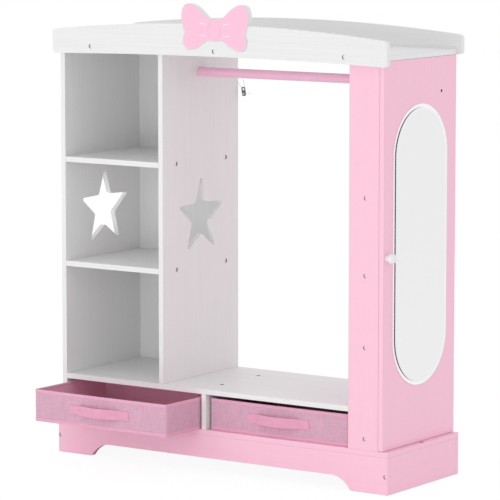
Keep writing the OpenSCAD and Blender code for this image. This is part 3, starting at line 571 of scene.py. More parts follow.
WHITE_UPRIGHT = Melamine("white_melamine_upright", WHITE, Grain.ALONG_Z)
WHITE_LEVEL = Melamine("white_melamine_level", WHITE, Grain.ALONG_X)
WHITE_DEEP = Melamine("white_melamine_deep", WHITE, Grain.ALONG_Y)
PINK_UPRIGHT = Melamine("pink_melamine_upright", PINK, Grain.ALONG_Z, 0.018)
PINK_LEVEL = Melamine("pink_melamine_level", PINK, Grain.ALONG_X, 0.018)
PINK_DEEP = Melamine("pink_melamine_deep", PINK, Grain.ALONG_Y, 0.018)
BOW_PAINT = CutBoard("bow_paint", seen(254, 198, 221), seen(226, 228, 230))
BOW_GROOVE = Lacquer("bow_groove_pink", seen(238, 176, 202), 0.5)
BOW_CREASE = Lacquer("bow_crease_white", seen(250, 248, 250), 0.5)
ROD_LACQUER = Lacquer("rod_lacquer", seen(242, 188, 214), 0.28, coat=0.3)
KNOB_LACQUER = Lacquer("knob_lacquer", seen(238, 238, 239), 0.24, coat=0.2)
WHITE_PLASTIC = Lacquer("white_plastic", seen(236, 236, 236), 0.4)
BACKING = Lacquer("mirror_backing_white", seen(253, 253, 253), 0.1, 0.00002, 0.4, 0.8)
ZINC = PlatedSteel("zinc_plate", seen(232, 232, 233), 0.34)
BRIGHT_ZINC = PlatedSteel("bright_zinc", seen(250, 250, 250), 0.24)
PINK_ZINC = PlatedSteel("pink_zinc", seen(254, 226, 237), 0.24)
PLATE_STEEL = PlatedSteel("pressed_plate", seen(140, 138, 135), 0.4)
DRAWN_WIRE = PlatedSteel("drawn_wire", seen(186, 186, 187), 0.32)
SILVER = Silvering("mirror_silver", seen(241, 241, 242))
PANE_EDGE = GlassEdge("mirror_pane_edge", seen(52, 56, 58))
BEECH = Timber("beech", seen(214, 182, 140), Grain.ALONG_Y)
# Recess linings: raw board colours darkened with painted shade for the recess walls.
SHADED_RAW_BOARD = ShadedChipboard("raw_chipboard_painted_shade", seen(104, 96, 92))
SHADED_RAW_PINK = ShadedChipboard("raw_pink_board_painted_shade", seen(150, 104, 124))
# Near-black painted shade inside the small hole in the door.
HOLE_SHADE = ShadedChipboard("deep_hole_painted_shade", seen(44, 10, 24))
BIN_CLOTH = WovenCloth("bin_cloth", seen(231, 169, 193), seen(210, 181, 199), 1.6 * MM, 0.19)
# A lighter copy of the bin cloth: painted light for the inside of the bin and its floor board.
BIN_CLOTH_PAINTED_LIGHT = WovenCloth("bin_cloth_painted_light", seen(250, 186, 210), seen(244, 192, 212), 1.6 * MM, 0.06)
BIN_TAPE = Tape("bin_tape", seen(238, 177, 203))
STRAP_WEB = Tape("strap_webbing", seen(236, 168, 196), 1.4 * MM)
THREAD = Tape("sewing_thread", seen(250, 196, 220), 0.5 * MM)


@dataclass
class Finishes:
    """The finishes made so far, each once."""

    made: dict[str, Material] = field(default_factory=dict)

    def get(self, finish: Finish | BoardFinish) -> Material:
        """Builds a finish the first time, and hands over the same one after that."""
        if finish.name not in self.made:
            self.made[finish.name] = finish.make()
        return self.made[finish.name]

    def dress(self, thing: Piece, *finishes: Finish | BoardFinish) -> None:
        """Puts the finishes in the object's material slots, in order."""
        thing.data.materials.clear()
        for finish in finishes:
            thing.data.materials.append(self.get(finish))

    def dress_nodes(self, finish: Finish | BoardFinish, *names: str) -> None:
        """Puts one finish on each of the frame's nodes named."""
        for name in names:
            self.dress(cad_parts[name], finish)
        log.info("%s dressed with %s", ", ".join(names), finish.name)


# ---- modelling by hand


def clear_selection() -> None:
    """Leaves edit mode and deselects every object."""
    if bpy.context.object and bpy.context.object.mode != "OBJECT":
        bpy.ops.object.mode_set(mode="OBJECT")
    bpy.ops.object.select_all(action="DESELECT")


def take_up(thing: Piece) -> Piece:
    """Selects one object and makes it the active one.

    Args:
        thing: The object.

    Returns:
        The same object.
    """
    clear_selection()
    thing.select_set(True)
    bpy.context.view_layer.objects.active = thing
    return thing


def named(name: str) -> Piece:
    """Names the new active object and its mesh, and puts its place into its mesh.

    Args:
        name: The name.

    Returns:
        The object.
    """
    thing = take_up(bpy.context.object)
    thing.name = name
    thing.data.name = name
    bpy.ops.object.transform_apply(location=True, rotation=True, scale=True)
    return thing


def edit_select(thing: Piece, faces: Callable[[bmesh.types.BMFace], bool] | None = None,
                edges: Callable[[bmesh.types.BMEdge], bool] | None = None) -> int:
    """Goes into edit mode with only the faces or edges that pass a test selected.

    Args:
        thing: The object to edit, which becomes the active one.
        faces: The test for a face.
        edges: The test for an edge.

    Returns:
        How many were selected.
    """
    if bpy.context.object != thing or thing.mode != "EDIT":
        take_up(thing)
        bpy.ops.object.mode_set(mode="EDIT")
    bpy.ops.mesh.select_mode(type="FACE" if faces else "EDGE")
    bpy.ops.mesh.select_all(action="DESELECT")
    mesh = bmesh.from_edit_mesh(thing.data)
    mesh.normal_update()
    chosen = [each for each in (mesh.faces if faces else mesh.edges) if (faces or edges)(each)]
    for each in chosen:
        each.select_set(True)
    bmesh.update_edit_mesh(thing.data)
    return len(chosen)


def edit_whole(thing: Piece) -> None:
    """Goes into edit mode with all of one object selected.

    Args:
        thing: The object.
    """
    take_up(thing)
    bpy.ops.object.mode_set(mode="EDIT")
    bpy.ops.mesh.select_all(action="SELECT")


def leave_edit() -> None:
    """Goes back to object mode."""
    bpy.ops.object.mode_set(mode="OBJECT")


def slice_up(thing: Piece, axis: int, places: Iterable[float]) -> None:
    """Cuts an object's mesh across at each place along an axis, without parting it.

    Args:
        thing: The object to cut.
        axis: 0, 1 or 2 for X, Y or Z.
        places: Where the cuts are, in metres.
    """
    take_up(thing)
    bpy.ops.object.mode_set(mode="EDIT")
    normal = tuple(1.0 if each == axis else 0.0 for each in range(3))
    for place in places:
        bpy.ops.mesh.select_all(action="SELECT")
        bpy.ops.mesh.bisect(plane_co=tuple(place * each for each in normal), plane_no=normal)
    leave_edit()


def between(low: float, high: float, count: int) -> list[float]:
    """The places that cut a length into that many equal parts."""
    return [low + (high - low) * step / count for step in range(1, count)]


def shares(count: int) -> list[float]:
    """The middles of that many equal parts, as shares of the whole."""
    return [(step + 0.5) / count for step in range(count)]


def modify(thing: Piece, kind: str, **settings: object) -> None:
    """Adds a modifier and applies it.

    Args:
        thing: The object.
        kind: The modifier's type.
        settings: Its options.
    """
    take_up(thing)
    modifier = thing.modifiers.new(kind.lower(), kind)
    for key, value in settings.items():
        setattr(modifier, key, value)
    bpy.ops.object.modifier_apply(modifier=modifier.name)


def ease(thing: Piece, width: float, segments: int, degrees: float = 50.0) -> None:
    """Rounds every edge of an object that is sharper than the angle."""
    modify(thing, "BEVEL", width=width, segments=segments, limit_method="ANGLE",
           angle_limit=math.radians(degrees))


def smooth(thing: Piece, degrees: float = 40.0) -> None:
    """Shades an object smooth, apart from edges sharper than the angle."""
    take_up(thing)
    bpy.ops.object.shade_smooth_by_angle(angle=math.radians(degrees))


def lay_out(thing: Piece) -> None:
    """Maps each face from the side it faces, in metres, under the name the cloths read.

    Args:
        thing: The object.
    """
    while thing.data.uv_layers:
        thing.data.uv_layers.remove(thing.data.uv_layers[0])
    thing.data.uv_layers.new(name="laid")
    edit_whole(thing)
    bpy.ops.uv.cube_project(cube_size=1.0, correct_aspect=False)
    leave_edit()


def repeat(thing: Piece, moves: Iterable[Matrix]) -> None:
    """Puts a copy of an object's mesh at each place, instead of the one it has.

    Args:
        thing: The object, modelled once.
        moves: For each copy how it is turned, sized and placed.
    """
    single = thing.data.copy()
    whole = bmesh.new()
    for move in moves:
        before = len(whole.verts)
        whole.from_mesh(single)
        whole.verts.ensure_lookup_table()
        for vertex in whole.verts[before:]:
            vertex.co = move @ vertex.co
    whole.to_mesh(thing.data)
    whole.free()


def copied_node(name: str, new_name: str) -> Piece:
    """Copies a node of the frame as a new piece with its loose triangles merged.

    Args:
        name: The node.
        new_name: The piece.

    Returns:
        The new piece.
    """
    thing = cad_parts[name].copy()
    thing.data = thing.data.copy()
    thing.parent = None
    thing.matrix_world = Matrix.Identity(4)
    for key in list(thing.keys()):
        del thing[key]
    bpy.context.scene.collection.objects.link(thing)
    thing.name = new_name
    thing.data.name = new_name
    edit_whole(thing)
    bpy.ops.mesh.remove_doubles(threshold=1e-6)
    bpy.ops.mesh.dissolve_limited(angle_limit=math.radians(0.5))
    leave_edit()
    return thing


def report(thing: Piece, body: str, slot: str, *nodes: str) -> Piece:
    """Puts a finished piece on its body and says so in the log.

    Args:
        thing: The piece.
        body: The body that it rides on.
        slot: Not used; the record's material slot that its finish belongs to.
        nodes: The nodes that it stands for.

    Returns:
        The piece.
    """
    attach(thing, body)
    if nodes:
        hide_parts(*nodes)
    log.info("%s rides on %s, %d faces", thing.name, body,
             len(thing.data.polygons) if thing.type == "MESH" else 0)
    return thing


# ---- camera, lights, floor


def aimed(place: Point, target: Point) -> Euler:
    """The turn that points a camera or a lamp from its place at its target."""
    return (Vector(target) - Vector(place)).to_track_quat("-Z", "Y").to_euler()


@dataclass(frozen=True)
class Lamp:
    """A square soft lamp: its place, what it faces, the length of its side and its power."""

    name: str
    place: Point
    target: Point
    size: float
    watts: float

    def hang(self) -> None:
        """Hangs the lamp, out of sight of anything shiny."""
        data = bpy.data.lights.new(self.name, "AREA")
        data.shape, data.size, data.energy = "SQUARE", self.size, self.watts
        lamp = bpy.data.objects.new(self.name, data)
        lamp.location = self.place
        lamp.rotation_euler = aimed(self.place, self.target)
        bpy.context.scene.collection.objects.link(lamp)
        lamp.visible_glossy = False


@dataclass
class Studio:
    """The photograph's camera, a white room and soft lamps."""

    camera_at: Point = (4.85035, -7.0069, 1.6868)
    looks_at: Point = (-0.02075, 0.0591, 0.605)
    lens: float = 225.4
    shift: tuple[float, float] = (0.0074, -0.0051)
    sky: float = 0.87
    lamps: tuple[Lamp, ...] = (Lamp("front_lamp", (-2.8, -4.8, 1.2), (0.0, 0.0, 0.6), 2.4, 13.0),
                               Lamp("side_lamp", (5.0, 0.4, 0.9), (0.0, 0.0, 0.5), 3.0, 8.0),
                               Lamp("low_lamp", (0.1, -3.0, 0.45), (0.0, 0.0, 0.15), 0.8, 11.0))
    floor_size: float = 30.0
    floor_white: float = 0.95
    floor_dulled: float = 0.87
    glow_seen: float = 0.93
    glow_mirrored: float = 0.12

    def set_camera(self) -> None:
        """Makes the camera at the photograph's place."""
        data = bpy.data.cameras.new("photo_camera")
        data.lens = self.lens
        data.sensor_width = 36.0
        data.shift_x, data.shift_y = self.shift
        data.clip_start, data.clip_end = 0.1, 100.0
        camera = bpy.data.objects.new("photo_camera", data)
        bpy.context.scene.collection.objects.link(camera)
        camera.location = self.camera_at
        camera.rotation_euler = aimed(self.camera_at, self.looks_at)
        bpy.context.scene.camera = camera
        log.info("camera set")

    def light_room(self) -> None:
        """Lights the room: an even sky, and lamps in front, at the side and low down."""
        world = bpy.data.worlds.new("white_room")
        bench = NodeBench(world)
        path = bench.add("LightPath").outputs
        bounced = bench.math("MAXIMUM", path["Is Glossy Ray"], path["Is Transmission Ray"])
        clear = bench.math("MAXIMUM", path["Is Camera Ray"], bounced)
        shine = bench.add("Background", None, Color=(1.0, 1.0, 1.0),
                          Strength=bench.spread(clear, 0.0, 1.0, self.sky))
        bench.add("OutputWorld", None, Surface=shine.outputs[0])
        bpy.context.scene.world = world
        bpy.context.scene.view_settings.view_transform = "Standard"
        for lamp in self.lamps:
            lamp.hang()

    def lay_floor(self) -> None:
        """Lays the white floor, which keeps the faint shadow of the unit."""
        clear_selection()
        bpy.ops.mesh.primitive_plane_add(size=self.floor_size, location=(0.0, 0.0, 0.0))
        floor = named("studio_floor")
        bench = SurfaceBench("studio_floor_white")
        path = bench.add("LightPath").outputs
        bounced = bench.math("MAXIMUM", path["Is Glossy Ray"], path["Is Transmission Ray"])
        straight = path["Is Camera Ray"]
        glow = bench.math("ADD", bench.math("MULTIPLY", straight, self.glow_seen),
                          bench.math("MULTIPLY", bounced, self.glow_mirrored))
        white = bench.math("SUBTRACT", self.floor_white, bench.math("MULTIPLY", straight, self.floor_dulled))
        bench.finish(Base_Color=white, Roughness=0.9, Specular_IOR_Level=0.1,
                     Emission_Color=(1.0, 1.0, 1.0), Emission_Strength=glow)
        floor.data.materials.append(bench.material)
        log.info("floor laid")


# ---- wall tether


@dataclass
class WallTether:
    """The thin steel strand at the back with its wall plate and loose screw."""

    finishes: Finishes
    thickness: float = 1.2 * MM
    length: float = 0.1244
    route: tuple[Point, ...] = (
        (-0.20375, 0.2681, 1.0695), (-0.20075, 0.2681, 1.0718), (-0.19625, 0.268, 1.0728),
        (-0.19195, 0.2679, 1.0714), (-0.18665, 0.2677, 1.0645), (-0.18065, 0.2674, 1.0565),
        (-0.17505, 0.2671, 1.0495), (-0.17165, 0.2668, 1.0405), (-0.17105, 0.2665, 1.0335),
        (-0.17335, 0.2667, 1.028), (-0.17535, 0.2681, 1.026), (-0.17625, 0.27, 1.0255),
        (-0.17765, 0.2719, 1.0256), (-0.18065, 0.2733, 1.026), (-0.18545, 0.2735, 1.0278),
        (-0.19065, 0.2729, 1.0335), (-0.19465, 0.2724, 1.042), (-0.19985, 0.2717, 1.0505),
        (-0.20385, 0.271, 1.0585), (-0.20565, 0.2705, 1.063), (-0.20525, 0.2703, 1.0664))

    def centreline(self, steps: int = 8) -> list[Vector]:
        """Draws a smooth line through the route's points.

        Args:
            steps: How many pieces there are from one point to the next.

        Returns:
            The points of the line, in metres.
        """
        ends = [Vector(point) for point in self.route]
        led = [2 * ends[0] - ends[1], *ends, 2 * ends[-1] - ends[-2]]
        line = []
        for a, b, c, d in zip(led, led[1:], led[2:], led[3:]):
            for step in range(steps):
                t = step / steps
                line.append(0.5 * (2 * b + (c - a) * t + (2 * a - 5 * b + 4 * c - d) * t * t
                                   + (3 * b - 3 * c + d - a) * t ** 3))
        return [*line, ends[-1]]

    def build(self) -> None:
        """Makes the strand and dresses the metal that it hangs on."""
        line = self.centreline()
        curve = bpy.data.curves.new("tether_strand", "CURVE")
        curve.dimensions = "3D"
        curve.bevel_depth = self.thickness / 2
        curve.bevel_resolution = 3
        curve.use_fill_caps = True
        spline = curve.splines.new("POLY")
        spline.points.add(len(line) - 1)
        for point, place in zip(spline.points, line):
            point.co = (*place, 1.0)
        spline.use_smooth = True
        strand = bpy.data.objects.new("tether_strand", curve)
        bpy.context.scene.collection.objects.link(strand)
        curve.materials.append(self.finishes.get(DRAWN_WIRE))
        report(strand, "cabinet", "wire_steel", "tether_wire")
        self.finishes.dress_nodes(PLATE_STEEL, "tether_plate")
        self.finishes.dress_nodes(ZINC, "tether_anchor")
        self.finishes.dress_nodes(BRIGHT_ZINC, "tether_screw")


# ---- boards and hardware


@dataclass
class Carcass:
    """The cabinet's boards, dressed with their grain the way they were cut."""

    finishes: Finishes
    uprights: tuple[str, ...] = ("left_side_panel", "divider_panel", "back_panel")
    levels: tuple[str, ...] = ("upper_shelf", "lower_shelf", "floor_panel", "top_panel", "bin_back_panel",
                               "cabinet_shelf_1", "cabinet_shelf_2", "cabinet_shelf_3",
                               "cabinet_shelf_4")
    curved: tuple[str, ...] = ("front_fascia", "back_fascia")
    deeps: tuple[str, ...] = ("bin_divider",)
    pink_levels: tuple[str, ...] = ("base_board", "plinth_front", "plinth_back")
    pink_deeps: tuple[str, ...] = ("plinth_left", "plinth_right")
    pink_uprights: tuple[str, ...] = ("column_front_panel", "column_inner_panel", "column_rear_panel")
    bow_eased: float = 2.6 * MM
    rim_face: float = 1.6e-6
    knot_half: float = 26.0 * MM

    def build(self) -> None:
        """Dresses every board of the cabinet."""
        for names, finish in ((self.uprights, WHITE_UPRIGHT), (self.levels, WHITE_LEVEL),
                              (self.deeps, WHITE_DEEP), (self.pink_levels, PINK_LEVEL),
                              (self.pink_deeps, PINK_DEEP), (self.pink_uprights, PINK_UPRIGHT)):
            for name in names:
                self.finishes.dress_nodes(BoardFinish(finish, name), name)
        self.finishes.dress_nodes(WHITE_LEVEL, *self.curved)
        self.finishes.dress_nodes(ROD_LACQUER, "hanging_rod")
        self.paint_bow()

    def paint_bow(self) -> None:
        """Makes the bow with its front edge eased back to the bare board, and its creases white."""
        bow = copied_node("bow", "painted_bow")
        low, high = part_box("bow")
        middle = (low.x + high.x) / 2
        edit_select(bow, edges=lambda edge: all(abs(vert.co.y - low.y) < CLOSE for vert in edge.verts)
                    and any(abs(face.normal.y) < 0.1 and face.calc_area() > self.rim_face
                            and all(abs(vert.co.y - low.y) < CLOSE or abs(vert.co.y - high.y) < CLOSE
                                    for vert in face.verts) for face in edge.link_faces))
        bpy.ops.mesh.bevel(offset=self.bow_eased, segments=3, affect="EDGES")
        leave_edit()
        self.finishes.dress(bow, BOW_PAINT, BOW_GROOVE, BOW_CREASE)
        for polygon in bow.data.polygons:
            sunk = (polygon.normal.y < -SQUARE_ON
                    and low.y + 0.2 * MM < polygon.center.y < high.y - 1.0 * MM)
            beside = abs(polygon.center.x - middle) > self.knot_half
            polygon.material_index = (2 if beside else 1) if sunk else 0
        report(bow, "cabinet", "pink_bow", "bow")


@dataclass
class Hardware:
    """Screws, dowels, hinges and the catch."""

    finishes: Finishes
    steel: tuple[str, ...] = ("hinge_fixed_leaves", "hinge_pins", "hinge_fixed_screws", "catch_screws",
                              "shelf_screws", "column_screws", "fascia_screws", "plinth_screws",
                              "floor_screws", "rear_panel_screws", "rod_screws", "bow_screws",
                              "knob_screw", "hinge_door_leaves", "hinge_door_screws", "catch_strike")
    sunk: tuple[str, ...] = ("shelf_screws", "column_screws", "fascia_screws", "plinth_screws",
                             "floor_screws", "rear_panel_screws")
    in_pink: tuple[str, ...] = ("column_screws", "plinth_screws")
    recess_radius: float = 5.98 * MM
    recess_depth: float = 4.5 * MM
    head_sunk: float = 2.2 * MM
    below_face: float = 0.05 * MM
    lining: float = 0.15 * MM

    def build(self) -> None:
        """Dresses the metal, the dowels and the catch's case, and lines the screws' recesses."""
        for name in self.steel:
            plating = (PINK_ZINC if name in self.in_pink else BRIGHT_ZINC) if name in self.sunk else ZINC
            self.finishes.dress_nodes(plating, name)
        self.finishes.dress_nodes(BEECH, "board_dowels")
        self.finishes.dress_nodes(WHITE_PLASTIC, "catch_body")
        for name in self.sunk:
            self.line_recesses(name)

    def heads(self, name: str) -> list[tuple[Vector, Vector]]:
        """Finds each screw of a node.

        Args:
            name: The node that holds the screws.

        Returns:
            For each screw the middle of its head's outer face, and the way that it faces.
        """
        spare = copied_node(name, "spare_screws")
        mesh = bmesh.new()
        mesh.from_mesh(spare.data)
        left = set(mesh.verts)
        found = []
        while left:
            places, ahead = [], [left.pop()]
            while ahead:
                here = ahead.pop()
                places.append(here.co)
                for other in [link.other_vert(here) for link in here.link_edges]:
                    if other in left:
                        left.discard(other)
                        ahead.append(other)
            low = Vector([min(place[axis] for place in places) for axis in range(3)])
            high = Vector([max(place[axis] for place in places) for axis in range(3)])
            middle = (low + high) / 2
            axis = max(range(3), key=lambda each: high[each] - low[each])
            shank = Vector([1.0 if each == axis else 0.0 for each in range(3)])
            widest = max(places, key=lambda place: (place - middle).cross(shank).length)
            sign = 1.0 if widest[axis] > middle[axis] else -1.0
            middle[axis] = high[axis] if sign > 0 else low[axis]
            found.append((middle, shank * sign))
        mesh.free()
        bpy.data.objects.remove(spare)
        return found

    def line_recesses(self, name: str) -> None:
        """Lines the recess round each head of a node's screws with raw board darkened as painted shade.

        Args:
            name: The node that holds the screws.
        """
        clear_selection()
        bpy.ops.mesh.primitive_cylinder_add(vertices=32, radius=self.recess_radius, depth=self.recess_depth,
                                            end_fill_type="NOTHING")
        lining = named(name.replace("screws", "recesses"))
        modify(lining, "SOLIDIFY", thickness=self.lining, offset=-1.0)
        out = self.head_sunk - self.recess_depth / 2 - self.below_face
        repeat(lining, [Matrix.Translation(spot + way * out)
                        @ way.to_track_quat("Z", "Y").to_matrix().to_4x4()
                        for spot, way in self.heads(name)])
        smooth(lining)
        # The lining's dark colour is painted shade on the recess wall.
        self.finishes.dress(lining, SHADED_RAW_PINK if name in self.in_pink else SHADED_RAW_BOARD)
        report(lining, "cabinet", "white_board")


# ---- mirror door


@dataclass
class MirrorDoor:
    """The pink door with its white backing, bevelled mirror pane and knob."""

    finishes: Finishes
    bevel_width: float = 3.5 * MM
    bevel_drop: float = 0.9 * MM
    hole_radius: float = 3.98 * MM
    hole_in: float = 76.0 * MM
    hole_down: float = 93.0 * MM
    lining: float = 0.2 * MM

    def build(self) -> None:
        """Dresses the door and makes its bevelled pane."""
        self.finishes.dress_nodes(BoardFinish(PINK_UPRIGHT, "mirror_door"), "mirror_door")
        self.finishes.dress_nodes(BACKING, "mirror_backing")
        self.finishes.dress_nodes(KNOB_LACQUER, "door_knob")
        self.grind_pane()
        self.line_hole()

    def line_hole(self) -> None:
        """Lines the small hole near the door's upper corner with near-black painted shade."""
        low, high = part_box("mirror_door")
        clear_selection()
        bpy.ops.mesh.primitive_cylinder_add(vertices=32, radius=self.hole_radius, depth=high.x - low.x,
                                            end_fill_type="NOTHING", rotation=(0.0, math.pi / 2, 0.0),
                                            location=((low.x + high.x) / 2, high.y - self.hole_in,
                                                      high.z - self.hole_down))
        lining = named("door_hole_lining")
        modify(lining, "SOLIDIFY", thickness=self.lining, offset=-1.0)
        smooth(lining)
        # The hole's lining is painted shade.
        self.finishes.dress(lining, HOLE_SHADE)
        report(lining, "mirror_door", "pink_board")

    def grind_pane(self) -> None:
        """Makes the pane with a ground bevel all round its face."""
        pane = copied_node("mirror_pane", "bevelled_pane")
        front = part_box("mirror_pane")[1].x
        edit_select(pane, faces=lambda face: face.normal.x > SQUARE_ON)
        bpy.ops.mesh.inset(thickness=self.bevel_width)
        mesh = bmesh.from_edit_mesh(pane.data)
        face = {vert for each in mesh.faces if each.select for vert in each.verts}
        for vert in mesh.verts:
            if vert not in face and abs(vert.co.x - front) < CLOSE:
                vert.co.x -= self.bevel_drop
        bmesh.update_edit_mesh(pane.data)
        leave_edit()
        self.finishes.dress(pane, SILVER, PANE_EDGE)
        for polygon in pane.data.polygons:
            polygon.material_index = 0 if polygon.normal.x > 0.5 else 1
        report(pane, "mirror_door", "mirror_glass", "mirror_pane")


# ---- fabric bins


class BinPlace(Enum):
    """Which bay a bin stands in, by the name of its body."""

    LEFT = "left_bin"
    RIGHT = "right_bin"


@dataclass
class FabricBin:
    """A woven bin on stiffened walls, bound at rim and foot, with a strap handle."""

    finishes: Finishes
    place: BinPlace
    wall: float = 3.0 * MM
    tape: float = 0.8 * MM
    tape_height: float = 9.0 * MM
    corner: float = 8.0 * MM
    bulge: float = 2.2 * MM
    strap_width: float = 28.0 * MM
    end_width: float = 25.0 * MM
    strap_thick: float = 2.0 * MM
    patch: float = 28.0 * MM
    gather: float = 12.0 * MM
    stitch_step: float = 3.6 * MM
    pulled_lift: float = 1.8 * MM
    seam_in: float = 1.8 * MM
    stitch_share: float = 0.72
    thread: float = 0.55 * MM
    strap_thread: float = 0.6 * MM
    edge_in: float = 2.4 * MM
    box_in: float = 2.6 * MM
    unmoved: float = 1e-6
    cuts: tuple[int, int, int] = (20, 14, 7)

    def __post_init__(self) -> None:
        """Reads the bin's place from the frame."""
        self.low, self.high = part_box(self.node("binding"))
        self.middle, self.size = (self.low + self.high) / 2, self.high - self.low
        self.strap_low, self.strap_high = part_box(self.node("handle"))
        self.strap_x = (self.strap_low.x + self.strap_high.x) / 2
        self.strap_z = (self.strap_low.z + self.strap_high.z) / 2
        self.length = self.strap_high.x - self.strap_low.x
        self.free = self.length / 2 - self.patch

    def node(self, part: str) -> str:
        """The name of one of the bin's parts, after the bin's own."""
        return f"{self.place.value}_{part}"

    def hand_over(self, thing: Piece, finish: Finish, slot: str, *parts: str) -> None:
        """Dresses a piece and puts it on the bin's body in place of the parts named."""
        self.finishes.dress(thing, finish)
        report(thing, self.place.value, slot, *[self.node(part) for part in parts])

    def build(self) -> None:
        """Makes every piece of the bin."""
        self.sew_shell()
        self.bind_rim()
        self.bind_foot()
        self.lay_insert()
        self.sew_handle()

    def slack(self, spot: Vector) -> Vector:
        """How far the cloth has settled away from the straight pattern at a spot.

        Args:
            spot: A point of the straight pattern.

        Returns:
            The way that it moves.
        """
        middle, size = self.middle, self.size
        across = (spot.x - self.low.x) / size.x
        back = (spot.y - self.low.y) / size.y
        up = held((spot.z - self.low.z) / size.z)
        over_x, over_y = arch(across), arch(back)
        belly = 4 * up * (1 - up) * 0.75 + 0.25 * up
        push = Vector((0.0, 0.0, 0.0))
        if abs(spot.x - middle.x) > size.x / 2 - self.corner:
            push.x = math.copysign(self.bulge * belly * over_y ** 0.8, spot.x - middle.x)
        if abs(spot.y - middle.y) > size.y / 2 - self.corner:
            push.y = math.copysign(self.bulge * belly * over_x ** 0.8, spot.y - middle.y)
        ripple = noise.noise(Vector((spot.x * 9, spot.y * 9, spot.z * 16)) + Vector((2.0, 5.0, 1.0)))
        push += push.normalized() * (0.5 * MM * ripple * belly) if push.length > CLOSE else Vector()
        sunk = over_x * over_y if push.length < self.unmoved else max(over_x * 0.5, over_y * 0.5)
        push.z = -1.0 * MM * up * sunk
        if self.place is BinPlace.LEFT:
            push.z += self.pulled_lift * up * held(1.0 - back)
        return push

    def settle(self, thing: Piece) -> None:
        """Moves every point of a piece as far as the cloth has settled there."""
        for vertex in thing.data.vertices:
            vertex.co += self.slack(vertex.co)
        thing.data.update()

    def ring(self, name: str, inset: float, bottom: float, top: float, closed_foot: bool) -> Piece:
        """Makes the bin's rounded outline as an upright band, cut fine enough to bulge.

        Args:
            name: The piece's name.
            inset: How far inside the bin's widest outline it runs.
            bottom: The height of its lower edge.
            top: The height of its upper edge.
            closed_foot: True where it keeps its floor.

        Returns:
            The band, one face thick.
        """
        clear_selection()
        bpy.ops.mesh.primitive_cube_add(
            size=1.0, location=((self.low.x + self.high.x) / 2, (self.low.y + self.high.y) / 2,
                                (bottom + top) / 2),
            scale=(self.size.x - 2 * inset, self.size.y - 2 * inset, top - bottom))
        band = named(name)
        edit_select(band, faces=lambda face: face.normal.z > SQUARE_ON
                    or (face.normal.z < -SQUARE_ON and not closed_foot))
        bpy.ops.mesh.delete(type="ONLY_FACE")
        edit_select(band, edges=lambda edge: abs(edge.verts[0].co.z - edge.verts[1].co.z) > CLOSE)
        bpy.ops.mesh.bevel(offset=self.corner - inset, segments=5, affect="EDGES")
        leave_edit()
        spans = [(self.low[axis] + self.corner, self.high[axis] - self.corner) for axis in (0, 1)]
        for axis, span in enumerate(spans):
            slice_up(band, axis, between(*span, self.cuts[axis]))
        for axis, span in enumerate(spans):
            slice_up(band, axis, span)
        return band

    def sew_shell(self) -> None:
        """Makes the walls and the floor of the bin."""
        shell = self.ring(self.node("cloth"), self.tape, self.low.z, self.high.z - self.tape, True)
        slice_up(shell, 2, between(self.low.z, self.high.z, self.cuts[2]))
        edit_select(shell, edges=lambda edge: len(edge.link_faces) == 2
                    and edge.calc_face_angle(0.0) > math.radians(60))
        bpy.ops.mesh.bevel(offset=2.0 * MM, segments=2, affect="EDGES")
        leave_edit()
        self.settle(shell)
        modify(shell, "SOLIDIFY", thickness=self.wall, offset=-1.0)
        modify(shell, "SUBSURF", levels=1, render_levels=1)
        lay_out(shell)
        smooth(shell, 50)
        self.finishes.dress(shell, BIN_CLOTH, BIN_CLOTH_PAINTED_LIGHT)
        # Inner faces and the floor take the lighter copy of the cloth, as painted light.
        for polygon in shell.data.polygons:
            out = polygon.center - self.middle
            polygon.material_index = int(polygon.normal.x * out.x + polygon.normal.y * out.y
                                         + max(0.0, -polygon.normal.z) < -0.01
                                         or polygon.normal.z > SQUARE_ON)
        report(shell, self.place.value, "bin_fabric", self.node("shell"))

    def bind_rim(self) -> None:
        """Folds the tape over the rim and sews it."""
        rim = self.ring(self.node("rim_tape"), self.tape + self.wall / 2,
                        self.high.z - self.tape_height, self.high.z - 0.3 * MM, False)
        self.settle(rim)
        modify(rim, "SOLIDIFY", thickness=self.wall + 2 * self.tape, offset=0.0)
        ease(rim, 1.4 * MM, 3)
        lay_out(rim)
        smooth(rim, 50)
        self.hand_over(rim, BIN_TAPE, "binding_fabric", "binding")
        self.sew_round("rim_stitches", self.high.z - self.tape_height + self.seam_in)

    def bind_foot(self) -> None:
        """Lays the tape round the foot and sews it."""
        foot = self.ring(self.node("foot_tape"), self.tape, self.low.z,
                         self.low.z + self.tape_height, False)
        self.settle(foot)
        modify(foot, "SOLIDIFY", thickness=self.tape, offset=1.0)
        ease(foot, 0.3 * MM, 2)
        lay_out(foot)
        smooth(foot, 50)
        self.hand_over(foot, BIN_TAPE, "binding_fabric")
        self.sew_round("foot_stitches", self.low.z + self.tape_height - self.seam_in)

